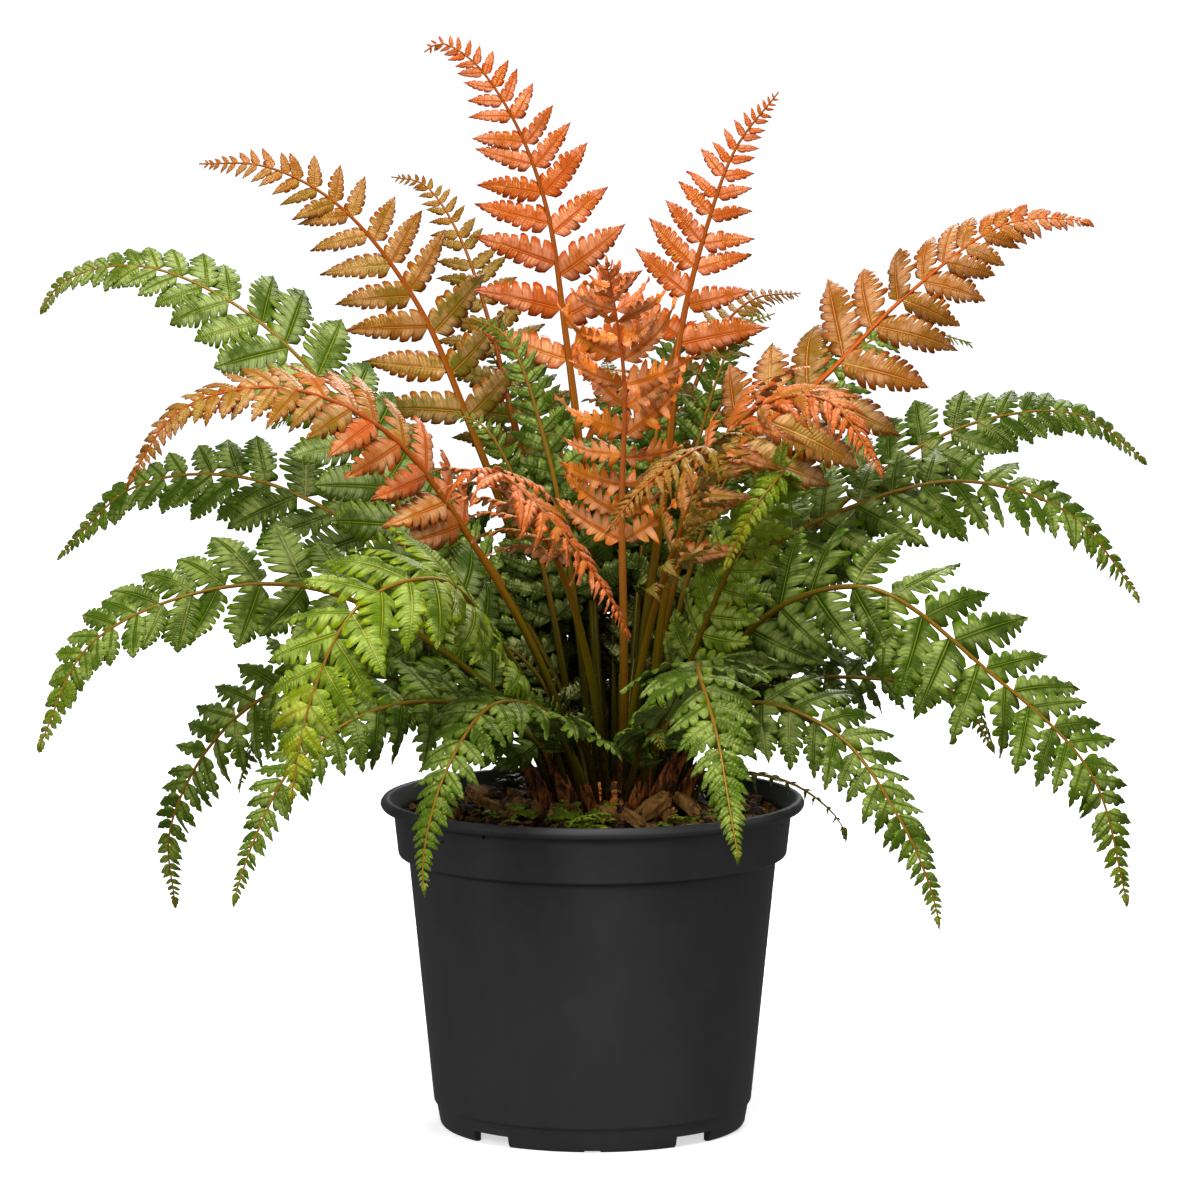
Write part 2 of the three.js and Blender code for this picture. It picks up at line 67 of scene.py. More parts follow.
bpy.ops.object.camera_add(location=CAMERA_PLACE, rotation=(math.radians(CAMERA_TILT), 0, 0))
camera = bpy.context.object
camera.data.lens = LENS_LENGTH
camera.data.sensor_width = SENSOR_WIDTH
bpy.context.scene.camera = camera
print("camera looks down by", 90 - CAMERA_TILT, "degrees")

# %% [markdown]
# # Writing finishes as sums
#
# Every surface gets its colour from nodes. Wiring dozens of maths nodes by hand hides the idea
# behind them, so we wrap a node's output in a small class that knows how to add, subtract and
# multiply. `1 - vein` then builds the node for us.

# %% A class for shader maths
class Signal:
    """One output of a node. Sums on it add Math nodes to the finish."""

    def __init__(self, finish, socket):
        self.finish = finish
        self.socket = socket

    def maths(self, operation, *values):
        return self.finish.node("ShaderNodeMath", {"operation": operation}, *values)

    def __add__(self, other):
        return self.maths("ADD", self, other)

    def __sub__(self, other):
        return self.maths("SUBTRACT", self, other)

    def __rsub__(self, other):
        return self.maths("SUBTRACT", other, self)

    def __mul__(self, other):
        return self.maths("MULTIPLY", self, other)

    def __abs__(self):
        return self.maths("ABSOLUTE", self)

    __radd__ = __add__

    def fraction(self):
        return self.maths("FRACT", self)

    def rising(self, start, end):
        """0 up to start, 1 from end on, and a smooth step between them."""
        settings = {"interpolation_type": "SMOOTHSTEP"}
        values = {"Value": self, "From Min": start, "From Max": end}
        return self.finish.node("ShaderNodeMapRange", settings, **values)


# %% A class for finishes
class Finish:
    """A material in the making: node() adds one node, and paint() sets the shader."""

    def __init__(self, name, roughness=0.5, specular=0.5):
        self.material = bpy.data.materials.new(name)
        self.material.use_nodes = True
        self.tree = self.material.node_tree
        self.shader = self.tree.nodes["Principled BSDF"]
        self.shader.inputs["Roughness"].default_value = roughness
        self.shader.inputs["Specular IOR Level"].default_value = specular

    def connect(self, value, socket):
        if isinstance(value, Signal):
            self.tree.links.new(value.socket, socket)
        else:
            socket.default_value = value

    def node(self, kind, settings=None, *values, output=0, **named):
        node = self.tree.nodes.new(kind)
        for name, value in (settings or {}).items():
            setattr(node, name, value)
        for socket, value in zip(node.inputs, values):
            self.connect(value, socket)
        for name, value in named.items():
            self.connect(value, node.inputs[name])
        return Signal(self, node.outputs[output])

    def attribute(self, name):
        return self.node("ShaderNodeAttribute", {"attribute_name": name}, output=2)

    def place(self):
        return self.node("ShaderNodeTexCoord", output=3)

    def noise(self, scale, detail=3, roughness=0.55, stretch=None):
        place = self.place()
        if stretch:
            place = self.node("ShaderNodeMapping", None, Vector=place, Scale=stretch)
        values = {"Vector": place, "Scale": scale, "Detail": detail, "Roughness": roughness}
        return self.node("ShaderNodeTexNoise", None, **values)

    def blend(self, share, first, second):
        mix = self.tree.nodes.new("ShaderNodeMix")
        mix.data_type = "RGBA"
        for socket, value in ((0, share), (6, first), (7, second)):
            self.connect(value, mix.inputs[socket])
        return Signal(self, mix.outputs[2])

    def paint(self, colour, roughness, height, depth):
        """Sets the colour and roughness, and bumps as deep as depth where height is most."""
        values = {"Height": height, "Distance": depth, "Strength": 1.0}
        bump = self.node("ShaderNodeBump", None, **values)
        for value, name in ((colour, "Base Color"), (roughness, "Roughness"), (bump, "Normal")):
            self.connect(value, self.shader.inputs[name])
        return self.material


def colour(red, green, blue):
    """A colour as a screen shows it, 0 to 255, turned into light amounts for the shader."""
    return tuple((c / 255 / 12.92) if c < 11 else ((c / 255 + 0.055) / 1.055) ** 2.4
                 for c in (red, green, blue)) + (1.0,)


print("an even grey of 128 is", round(colour(128, 128, 128)[0], 3), "as light")

# %% [markdown]
# # The studio
#
# A product picture like this one is taken on white paper that sweeps up behind the object. We
# make ours as a round floor whose rim is pulled up and rounded, so that it is white from every
# side. It throws no light back at the plant, so the inside of the plant stays as dark as it is
# in a real one. Light comes faintly from the room, and strongly from a wide panel overhead and
# one in front on the left, which give the leaves their sheen.

# %% Lay the white paper
PAPER_RADIUS = 6
PAPER_RISE = 6
BEND_RADIUS = 2
BEND_SEGMENTS = 12
PAPER_COLOUR = (0.9, 0.9, 0.9, 1)
NEAR_GLOW = (0.6, 0.6, 0.6, 1)  # near the pot the paper glows less, so that a shadow shows there
FAR_GLOW = (0.95, 0.95, 0.95, 1)
GLOW_GROWS = (0.8, 2.5)  # from and to these distances from the pot

bpy.ops.object.select_all(action="DESELECT")
bpy.ops.mesh.primitive_circle_add(vertices=64, radius=PAPER_RADIUS, fill_type="NGON")
sheet = bpy.context.object
sheet.name = "white_sheet"
bpy.ops.object.mode_set(mode="EDIT")
bpy.ops.mesh.select_mode(type="EDGE")
bpy.ops.mesh.select_all(action="SELECT")
bpy.ops.mesh.extrude_edges_move(TRANSFORM_OT_translate={"value": (0, 0, PAPER_RISE)})
bpy.ops.object.mode_set(mode="OBJECT")
rounding = sheet.modifiers.new("rounding", "BEVEL")
rounding.width = BEND_RADIUS
rounding.segments = BEND_SEGMENTS
bpy.ops.object.modifier_apply(modifier="rounding")
bpy.ops.object.shade_smooth()
paper = Finish("white_paper", roughness=0.8, specular=0)
distance = paper.node("ShaderNodeVectorMath", {"operation": "LENGTH"}, paper.place(), output=1)
glow = paper.blend(distance.rising(*GLOW_GROWS), NEAR_GLOW, FAR_GLOW)
paper.connect(glow, paper.shader.inputs["Emission Color"])
paper.shader.inputs["Emission Strength"].default_value = 1
paper.shader.inputs["Base Color"].default_value = PAPER_COLOUR
sheet.data.materials.append(paper.material)
sheet.visible_diffuse = False
sheet.visible_glossy = False
sheet.visible_shadow = False
print("paper of", len(sheet.data.polygons), "faces")

# %% Set the lights
ROOM_LIGHT = 0.17
PANELS = {  # place, what it looks at, side, power
    "panel_overhead": ((0.0, -0.5, 1.8), (0, 0, 0.2), 1.0, 34),
    "panel_front_left": ((-1.3, -2.0, 1.3), (0, 0, 0.25), 0.8, 30),
    "panel_front_right": ((1.7, -1.8, 0.9), (0, 0, 0.2), 1.0, 10),
    "panel_behind": ((0.5, 2.0, 1.6), (0, 0, 0.3), 1.2, 26),
}

bpy.context.scene.world = bpy.data.worlds.new("white_room")
bpy.context.scene.world.use_nodes = True
room = bpy.context.scene.world.node_tree.nodes["Background"]
room.inputs["Color"].default_value = (1, 1, 1, 1)
room.inputs["Strength"].default_value = ROOM_LIGHT
for name, (place, aim, side, power) in PANELS.items():
    bpy.ops.object.light_add(type="AREA", location=place)
    panel = bpy.context.object
    panel.name = name
    panel.data.size = side
    panel.data.energy = power
    panel.rotation_euler = (Vector(aim) - Vector(place)).to_track_quat("-Z", "Y").to_euler()
bpy.context.scene.view_settings.view_transform = "Standard"
print(len(PANELS), "light panels")

# %% [markdown]
# # The nursery pot
#
# The pot is thin black plastic from a mould: a foot ring with drain notches, a body that widens
# upwards, a collar that lets pots stack without jamming, and a rolled lip. All of it is round, so
# we start with one ring and pull it out row by row, as a potter would. A bevel then rounds the
# corners as the mould does, and blocks cut the notches.

# %% Helpers that turn, change and name a piece
def select_only(piece):
    bpy.ops.object.select_all(action="DESELECT")
    piece.select_set(True)
    bpy.context.view_layer.objects.active = piece


def select_ring(piece, radius, height):
    """Selects the edges of one ring in a turned piece, and nothing else."""
    bpy.ops.object.mode_set(mode="OBJECT")
    for part in (piece.data.vertices, piece.data.edges, piece.data.polygons):
        part.foreach_set("select", [False] * len(part))
    for point in piece.data.vertices:
        off_radius = abs(point.co.to_2d().length - radius)
        point.select = off_radius < 1e-5 and abs(point.co.z - height) < 1e-5
    points = piece.data.vertices
    for edge in piece.data.edges:
        edge.select = all(points[i].select for i in edge.vertices)
    bpy.ops.object.mode_set(mode="EDIT")


def turned(name, rows, sides):
    """A closed shell whose rings follow rows of (radius, height) in millimetres."""
    bpy.ops.object.select_all(action="DESELECT")
    rows = [(radius * MM, height * MM) for radius, height in rows]
    radius, height = rows[0]
    bpy.ops.mesh.primitive_circle_add(vertices=sides, radius=radius, location=(0, 0, height))
    piece = bpy.context.object
    piece.name = name
    bpy.ops.object.transform_apply(location=True)
    bpy.ops.object.mode_set(mode="EDIT")
    for next_radius, next_height in rows[1:]:
        bpy.ops.mesh.extrude_edges_move()
        grow = next_radius / radius
        bpy.ops.transform.resize(value=(grow, grow, 1), center_override=(0, 0, height))
        bpy.ops.transform.translate(value=(0, 0, next_height - height))
        radius, height = next_radius, next_height
    for radius, height in (rows[0], rows[-1]):
        select_ring(piece, radius, height)
        bpy.ops.mesh.edge_face_add()
    bpy.ops.mesh.select_all(action="SELECT")
    bpy.ops.mesh.normals_make_consistent(inside=False)
    bpy.ops.object.mode_set(mode="OBJECT")
    return piece


def apply_modifier(piece, name, kind, **settings):
    """Adds a modifier to a piece, sets it, and makes its result the mesh."""
    select_only(piece)
    modifier = piece.modifiers.new(name, kind)
    for setting, value in settings.items():
        setattr(modifier, setting, value)
    bpy.ops.object.modifier_apply(modifier=name)


def dress(piece, material, slot, *nodes):
    """Gives a piece its finish, states its body and hides the nodes it stands for. The slot is not
    used.
    """
    piece.data.materials.clear()
    piece.data.materials.append(material)
    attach(piece, "root")
    if nodes:
        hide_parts(*nodes)


# %% Turn the pot
POT_ROWS = [
    (64.5, 5), (64.5, 0), (67.6, 0), (68.5, 1.6), (70, 10), (71.2, 11), (82.2, 121),
    (86.8, 122.6), (89, 142.4), (93.8, 143.2), (95, 145.4), (93.4, 148), (91, 148),
    (86.8, 141), (84.8, 124.5), (80.2, 119.6), (67.9, 7.5),
]
POT_SIDES = 160
MOULD_RADIUS = 1.1 * MM

pot = turned("pot_shell", POT_ROWS, POT_SIDES)
apply_modifier(pot, "mould radius", "BEVEL", width=MOULD_RADIUS, segments=3,
               limit_method="ANGLE", angle_limit=math.radians(20))
print("pot shell of", len(pot.data.polygons), "faces")

# %% Cut the drain notches, the vents and the drain holes
NOTCH_AZIMUTHS = (-49, -131, 49, 131)
NOTCHES = (  # distance from the axis, depth, width, height of the block above the ground
    (68, 14, 20, 5),
    (70.9, 3.4, 20, 8.5),
)
VENT_AZIMUTHS = (-90, 0, 90, 180)
VENT = (68, 14, 7, 0.8)  # a shallow slot under the foot, so that it doesn't stick to wet ground
DRAIN_AZIMUTHS = (0, 90, 180, 270)
DRAIN_CIRCLE = 0.042
DRAIN_HEIGHT = 0.006
DRAIN_RADIUS = 0.005


def cut_with(piece, cutter):
    apply_modifier(piece, "cut", "BOOLEAN", object=cutter, operation="DIFFERENCE", solver="EXACT")
    bpy.data.objects.remove(cutter)


def block_at(azimuth, distance, depth, width, height):
    """A block that stands across the ground line, turned to face an azimuth."""
    bpy.ops.object.select_all(action="DESELECT")
    turn = math.radians(azimuth)
    place = (math.cos(turn) * distance * MM, math.sin(turn) * distance * MM, 0)
    bpy.ops.mesh.primitive_cube_add(size=1, location=place, rotation=(0, 0, turn))
    block = bpy.context.object
    block.scale = (depth * MM, width * MM, 2 * height * MM)
    bpy.ops.object.transform_apply(location=True, rotation=True, scale=True)
    return block


for azimuth in NOTCH_AZIMUTHS:
    for sizes in NOTCHES:
        cut_with(pot, block_at(azimuth, *sizes))
for azimuth in VENT_AZIMUTHS:
    cut_with(pot, block_at(azimuth, *VENT))
for azimuth in DRAIN_AZIMUTHS:
    turn = math.radians(azimuth)
    place = (DRAIN_CIRCLE * math.cos(turn), DRAIN_CIRCLE * math.sin(turn), DRAIN_HEIGHT)
    bpy.ops.mesh.primitive_cylinder_add(radius=DRAIN_RADIUS, depth=2 * DRAIN_RADIUS, location=place)
    cut_with(pot, bpy.context.object)
select_only(pot)
bpy.ops.object.shade_smooth_by_angle(angle=math.radians(32))
print("pot now has", len(pot.data.polygons), "faces")

# %% [markdown]
# The plastic is charcoal rather than black, with a fine spark-eroded grain. Handling leaves it
# faintly dusty. The grain is a bump far smaller than a millimetre, and the dust is a slow
# change of colour and roughness.

# %% Paint the pot
plastic = Finish("charcoal_plastic", roughness=0.46, specular=0.28)
dust = plastic.noise(14, detail=5, roughness=0.65)
grain = plastic.noise(1500, detail=2)
flow = plastic.noise(40, detail=3, stretch=(1, 1, 0.15))
shade = (dust * 0.6 + flow * 0.4).rising(0.35, 0.7)
body_colour = plastic.blend(shade, colour(54, 54, 56), colour(65, 65, 67))
body_paint = plastic.paint(body_colour, 0.42 + dust * 0.16, grain + flow * 0.5, 0.12 * MM)
dress(pot, body_paint, "pot_plastic", "pot")
print("pot painted")

# %% [markdown]
# # Pieces put together from many small shapes
#
# Bark, scales, moss and leaflets are all small shapes that repeat, each time turned, bent and
# coloured a little differently. A small heap collects their points and faces, together with
# numbers for the finishes to read, and makes one piece of them.

# %% A heap of small shapes
class Heap:
    """Points, faces and point values of many shapes that become one piece."""

    def __init__(self, *values):
        self.points, self.faces, self.count = [], [], 0
        self.values = {name: [] for name in values}

    def add(self, points, faces, **values):
        self.points.append(points)
        self.faces += [tuple(self.count + i for i in face) for face in faces]
        self.count += len(points)
        for name, column in self.values.items():
            column.append(np.broadcast_to(values.get(name, 0.0), len(points)))

    def piece(self, name, material, slot, *nodes, smooth_below=60):
        mesh = bpy.data.meshes.new(name)
        mesh.from_pydata(np.vstack(self.points), [], self.faces)
        for value, column in self.values.items():
            layer = mesh.attributes.new(value, "FLOAT", "POINT")
            layer.data.foreach_set("value", np.concatenate(column).astype(np.float32))
        made = bpy.data.objects.new(name, mesh)
        bpy.context.collection.objects.link(made)
        select_only(made)
        bpy.ops.object.shade_smooth_by_angle(angle=math.radians(smooth_below))
        dress(made, material, slot, *nodes)


def ring_faces(rings, sides):
    """The faces between rings of points that follow each other."""
    return [(low + i, low + (i + 1) % sides, low + sides + (i + 1) % sides, low + sides + i)
            for low in range(0, (rings - 1) * sides, sides) for i in range(sides)]


def mixed(first, second, share):
    return first + (second - first) * share


def unit(vector):
    return vector / np.linalg.norm(vector)


print("heap ready")

# %% [markdown]
# # How a frond is built
#
# A fern frond is a feather. A stalk carries a midrib, called the rachis, and leaflets stand on
# it in pairs that shrink towards the tip. Each leaflet is itself a small feather: lobes that
# point forwards, each with its own vein. Fronds can't be turned or extruded from one block, so
# here mesh code does what nature does: it repeats one rule along a line.
#
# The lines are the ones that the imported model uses. They run from the crown to each tip.
#
# The table has a row for each frond: its name, colour and habit, the share of it that is bare
# stalk, its longest leaflet, the way that its face looks at foot and tip, and the places that
# its line runs through. Lengths are in millimetres.

# %% Lay out the fronds
Frond = namedtuple("Frond", "name leaf habit bare longest face_foot face_tip route")


def rows_of(text):
    """A table's rows, which end in semicolons: the words before the first comma, then numbers."""
    for row in text.strip(" ;\n").split(";"):
        head, *entries = row.split(",")
        yield head.split(), [tuple(map(float, entry.split())) for entry in entries]


FRONDS = [Frond(name, leaf, habit, float(bare), float(longest), foot, tip, route)
          for (name, leaf, habit, bare, longest), (foot, tip, *route) in rows_of("""
tall_left orange upright .5 39, .1 -1 0, 0 -1 .2, 6 4 138, 2 14 200, -3 26 275, -12 40 351,
  -21 50 409, -36 58 448, -55 65 474, -69 69 481, -76 70 477;
tall_right orange upright .6 38, 0 -1 0, .1 -1 .2, 17 3 138, 22 8 210, 33 16 290, 39 28 351,
  52 44 402, 65 58 435, 84 68 459;
tall_middle orange fringed .46 31, 0 -1 -.2, 0 -1 -.2, 13 -11 138, 14 -14 210, 13 -22 280,
  14 -40 336, 10 -62 370, 6 -88 393;
copper_back_left copper upright .54 37, .3 -.9 .3, 0 -.8 .5, -2 5 138, -22 26 220, -55 50 309,
  -81 66 366, -116 76 408, -149 80 425, -179 82 426;
bronze_back_left bronze upright .56 31, .3 -.9 .2, 0 -.9 .4, 3 9 138, -3 25 190, -16 50 240,
  -34 84 299, -47 112 349, -63 136 392, -79 150 413, -94 156 416;
copper_right copper hooded .46 38, -.4 -.9 .2, 0 -.7 .6, 26 -6 138, 30 -10 215, 54 -10 293,
  102 -8 336, 141 -10 375, 183 -14 405, 216 -18 406, 217 -20 405;
bronze_back_right bronze upright .52 30, -.3 -.9 .3, .1 -.7 .6, 16 8 138, 22 26 190, 29 42 235,
  42 68 310, 57 100 346, 75 130 361, 97 152 362;
salmon_left salmon arching .5 31, .3 -.6 .7, -.1 -.5 .85, -5 -9 138, -18 -30 200, -52 -48 267,
  -91 -66 319, -134 -80 338, -176 -94 330, -199 -104 299;
salmon_front salmon curled .5 26, .3 .6 .7, .1 -.35 .9, 8 -20 138, -1 -62 212, -17 -108 270,
  -44 -150 308, -38 -168 310, -14 -190 290, 8 -202 261, 16 -204 246;
salmon_right salmon curled .46 31, -.4 -.6 .7, .2 -.55 .8, 22 -17 138, 32 -38 242, 46 -54 291,
  70 -76 328, 100 -106 335, 123 -138 307;
copper_front_low bronze curled .46 26, 0 .5 .8, -.3 -.9 .4, 14 -20 138, 17 -42 186, 28 -72 245,
  44 -106 296, 48 -138 318, 33 -162 313, 18 -178 302, 6 -190 288;
lime_small lime arching .5 24, -.3 -.6 .7, -.2 -.9 .3, 26 -14 138, 36 -26 190, 59 -48 254,
  82 -71 300, 83 -85 303, 68 -100 286, 57 -109 264;
green_high_left green spread .44 33, .2 -.6 .8, 0 -.7 .7, -7 1 138, -17 0 178, -49 -2 218,
  -82 0 272, -121 10 333, -162 22 368, -205 34 383, -238 42 375, -248 44 362;
green_mid_left dark spread .44 33, .1 -.7 .7, -.2 -.7 .7, -13 3 138, -22 9 172, -56 24 222,
  -110 44 266, -160 62 285, -209 76 279, -245 84 246;
green_low_left green spread .4 33, .1 -.6 .8, -.3 -.8 .5, -12 -10 138, -24 -15 175, -66 -21 216,
  -120 -34 245, -170 -48 246, -219 -62 224, -241 -70 180;
green_droop_left green arching .36 31, .1 -.6 .8, -.4 -.9 .2, -14 -5 138, -30 -5 175, -80 0 200,
  -138 5 196, -170 9 171, -190 12 130, -188 14 96;
green_droop_front_left green arching .34 30, .1 -.5 .9, -.4 -.9 .1, -9 -16 138, -22 -24 172,
  -56 -50 196, -96 -78 197, -129 -99 176, -146 -112 144, -154 -118 120;
lime_front_left lime broad .42 34, .2 -.2 .9, -.3 -.9 .2, -6 -21 138, -22 -42 190, -42 -74 230,
  -66 -112 259, -99 -144 251, -118 -164 214, -126 -176 174;
green_front_left green arching .36 30, .2 .3 .9, -.3 -.9 .1, 2 -24 138, -2 -38 172, -18 -74 196,
  -43 -108 204, -62 -138 180, -71 -158 148, -71 -166 133;
green_front_right green arching .36 34, -.2 .4 .9, .1 -.95 .2, 20 -26 138, 26 -44 178, 44 -78 217,
  46 -118 218, 53 -156 196, 58 -182 168, 61 -194 152;
green_droop_right green arching .36 32, -.1 -.4 .9, .4 -.9 .1, 29 -20 138, 38 -26 172, 68 -44 196,
  107 -66 185, 134 -90 150, 145 -99 126, 150 -104 108;
green_big_right green arching .36 36, -.1 -.7 .7, .3 -.9 .3, 33 -13 138, 42 -17 178, 76 -28 232,
  121 -44 247, 174 -58 211, 217 -70 169, 233 -78 113;
green_mid_right green arching .42 34, -.1 -.6 .8, .2 -.7 .7, 36 -4 138, 44 -1 180, 73 8 252,
  118 16 277, 166 24 287, 214 26 272, 246 26 234;
green_high_right dark spread .5 30, -.1 -.6 .8, .2 -.7 .7, 32 6 138, 42 12 178, 82 30 244,
  138 48 294, 182 62 312, 222 74 312, 253 83 290;
green_low_right dark arching .4 27, 0 -.6 .8, .2 -.9 .3, 37 3 138, 48 8 172, 84 18 196, 130 27 197,
  164 33 190, 181 36 164;
old_thin_right dark withered .52 9, 0 -.3 .9, .2 -.8 .5, 40 -17 138, 49 -20 156, 69 -26 162,
  90 -35 158, 106 -44 147, 112 -48 138;
green_back_left dark plain .32 30, .2 -.7 .7, -.2 -.5 .8, -5 10 138, -14 22 180, -46 50 228,
  -90 90 290, -122 122 314, -150 146 300;
green_back_right dark plain .32 30, -.2 -.7 .7, .2 -.5 .8, 23 12 138, 32 32 180, 60 64 240,
  104 92 325, 142 116 348, 176 136 340;
back_high copper plain .44 32, 0 -.6 .7, 0 .8 .6, 10 13 138, 15 44 225, 20 94 290, 18 144 325,
  12 184 314, 10 205 280;
back_low_left green plain .32 31, 0 -.7 .7, -.4 .8 .3, 0 17 138, -8 34 175, -28 70 208,
  -57 112 228, -84 154 204, -98 180 160;
back_low_right green plain .36 30, 0 -.7 .7, .3 .8 .3, 17 19 138, 26 32 175, 46 68 214, 68 110 236,
  92 154 214, 106 182 172;
back_low_middle green plain .28 31, 0 -.7 .7, 0 .9 .3, 9 20 138, 11 34 172, 12 76 204, 10 126 214,
  8 176 188, 8 206 142;
back_side_left green plain .36 31, 0 -.6 .8, -.7 .5 .3, -11 8 138, -20 18 168, -56 46 188,
  -112 84 196, -150 112 170, -166 126 132;
back_side_right green plain .38 31, 0 -.6 .8, .7 .5 .3, 30 15 138, 40 26 170, 80 51 199,
  130 86 212, 168 116 192, 188 130 150;
inner_left green plain .34 25, .2 -.6 .7, -.2 -.7 .6, 0 -2 138, -8 4 178, -28 16 222, -56 24 262,
  -84 28 282, -108 30 274;
inner_right dark plain .28 25, -.2 -.6 .7, .2 -.7 .6, 24 6 138, 32 22 180, 52 42 226, 74 54 258,
  98 60 268, 116 64 256;
green_inner_left green plain .42 30, .1 -.8 .6, -.1 -.9 .3, -9 15 138, -15 32 180, -19 62 218,
  -28 100 275, -40 120 320, -50 128 343;
""")]
print(len(FRONDS), "fronds laid out")

# %% [markdown]
# The line through a frond's points is a smooth curve that passes through each of them. The same
# kind of curve, worked out in the same way, keeps every fine frond on its packed one.

# %% Follow a frond's line
CURVE_STEPS = 40
LOOK_ASIDE = 1.5 * MM  # the way along is taken between two places this far before and after


def curve_through(route):
    """Places along the smooth curve through a route, in metres."""
    marks = np.array(route, float) * MM
    marks = np.vstack([2 * marks[0] - marks[1], marks, 2 * marks[-1] - marks[-2]])
    steps = np.linspace(0, 1, CURVE_STEPS, endpoint=False)[:, None]
    line = []
    for a, b, c, d in zip(marks, marks[1:], marks[2:], marks[3:]):
        gaps = ((a, b), (b, c), (c, d))
        first, middle, last = (math.sqrt(np.linalg.norm(end - start)) for start, end in gaps)
        leave = ((b - a) / first - (c - a) / (first + middle) + (c - b) / middle) * middle
        arrive = ((c - b) / middle - (d - b) / (middle + last) + (d - c) / last) * middle
        line.append(b + leave * steps + (3 * (c - b) - 2 * leave - arrive) * steps**2
                    + (2 * (b - c) + leave + arrive) * steps**3)
    return np.vstack([*line, marks[-2]])


class FrondLine:
    """A frond's line, with the way that its upper face looks at each place."""

    def __init__(self, route, face_foot, face_tip):
        self.line = curve_through(route)
        spans = np.linalg.norm(np.diff(self.line, axis=0), axis=1)
        self.far = np.concatenate([[0], np.cumsum(spans)])
        self.length = self.far[-1]
        self.faces = np.array(face_foot, float), np.array(face_tip, float)

    def point(self, place):
        return np.array([np.interp(place, self.far, self.line[:, i]) for i in range(3)])

    def frame(self, place):
        """The point, and the directions along the frond, up from its face and to its side."""
        near = min(max(place, LOOK_ASIDE), self.length - LOOK_ASIDE)
        along = unit(self.point(near + LOOK_ASIDE) - self.point(near - LOOK_ASIDE))
        up = mixed(*self.faces, place / self.length)
        up = unit(up - along * (up @ along))
        return self.point(place), along, up, np.cross(up, along)


lines = {frond.name: FrondLine(frond.route, frond.face_foot, frond.face_tip) for frond in FRONDS}
print("longest frond", round(max(line.length for line in lines.values()), 3), "m")

# %% [markdown]
# # One leaflet
#
# A leaflet starts as a flat grid: four columns of faces for each lobe, and three rows on either
# side of the midrib. The rule below turns the grid into a lobed blade. It rounds the foot, tapers
# the blade to its tip, pulls the edge in at each notch and slants the lobes forwards. The lobes
# get narrower towards the tip, and the half that looks up the frond is the wider one. The blade
# is pillowed between its furrows, and its edges turn down. Then it gets an underside, so that it
# is a closed, thin solid.

# %% A flat grid for each number of lobes
# Columns: where a lobe's columns stand, from its notch over its top. Edges: how far out the edge
# stands there. Rows: from midrib to edge. Leaflets in the shade get the plainer grid.
Grid = namedtuple("Grid", "columns edges rows")
GRIDS = {
    "fine": Grid((0, 0.17, 0.55, 0.86), (0, 0.74, 1, 0.8), (0, 0.4, 0.74, 1)),
    "plain": Grid((0, 0.28, 0.74), (0, 0.94, 0.92), (0, 0.55, 1)),
}
sheets = {}


def underside(last, rows, places):
    """The plainer faces of the underside: one on either side of the midrib for each column."""
    faces = []
    for column in range(last):
        for side in (1, -1):
            start = [(column, side * row) for row in range(rows + 1)]
            end = [(column + 1, side * row) for row in range(rows, -1, -1)]
            if column:
                start = [start[0], start[-1]]
            if column + 1 < last:
                end = [end[0], end[-1]]
            faces.append([places[spot] for spot in (start + end)[::side]])
    return faces


def leaflet_sheet(lobes, kind):
    """Each grid point's lobe, row and edge, which points the underside has, and all faces."""
    if (lobes, kind) not in sheets:
        columns, edge_columns, row_places = map(np.array, kind)
        wide, deep = len(columns), len(row_places) - 1
        last = wide * lobes
        bpy.ops.mesh.primitive_grid_add(x_subdivisions=last, y_subdivisions=2 * deep, size=2)
        grid = bpy.context.object
        places = np.array([point.co[:2] for point in grid.data.vertices])
        faces = [tuple(face.vertices) for face in grid.data.polygons]
        bpy.data.objects.remove(grid)
        column = np.rint((places[:, 0] + 1) / 2 * last).astype(int)
        row = np.rint(places[:, 1] * deep).astype(int)
        under = underside(last, deep, {spot: i for i, spot in enumerate(zip(column, row))})
        kept = sorted({i for face in under for i in face})
        lower = {i: len(places) + k for k, i in enumerate(kept)}
        edges = [pair for face in faces for pair in zip(face, face[1:] + face[:1])]
        known = set(edges)
        walls = [(b, a, lower[a], lower[b]) for a, b in edges if (b, a) not in known]
        shell = faces + [tuple(lower[i] for i in face) for face in under] + walls
        sheets[lobes, kind] = (
            column // wide + columns[column % wide], np.sign(row) * row_places[np.abs(row)],
            edge_columns[column % wide], kept, shell)
    return sheets[lobes, kind]


NARROWING = 0.55  # how much narrower the lobes get towards the leaflet's tip
POINTED_BELOW = 2.1  # blades up to this blunt are widest near the foot, and blunter ones are oval


def along_blade(lobe, lobes):
    """Where a lobe number stands along the blade: wide lobes first, narrow ones at the tip."""
    return (np.sqrt(1 + 4 * NARROWING * (1 + NARROWING) * lobe / lobes) - 1) / (2 * NARROWING)


def envelope(share, blunt):
    """Half the width of the blade along its length, as a share of the widest."""
    oval = min(1, max(0, blunt - POINTED_BELOW))
    foot = mixed(0.84, 0.66, oval)
    swelling = np.sin(np.clip(share / mixed(0.22, 0.42, oval), 0, 1) * math.pi / 2)
    taper = 1 - np.clip((share - 0.06) / 0.94, 0, 1) ** blunt
    return (foot + mixed(0.16, 0.34, oval) * swelling) * np.maximum(taper, 0.02)


print("shell for six lobes:", len(leaflet_sheet(6, GRIDS["fine"])[4]), "faces")

# %% [markdown]
# The fronds don't all hold their leaflets alike. Young upright ones spread them flat, with air
# between. The arching green ones close them up and let them hang. The youngest arching ones are
# still curled: narrow, folded, twisted and hooked. One old frond has withered to a few shreds.

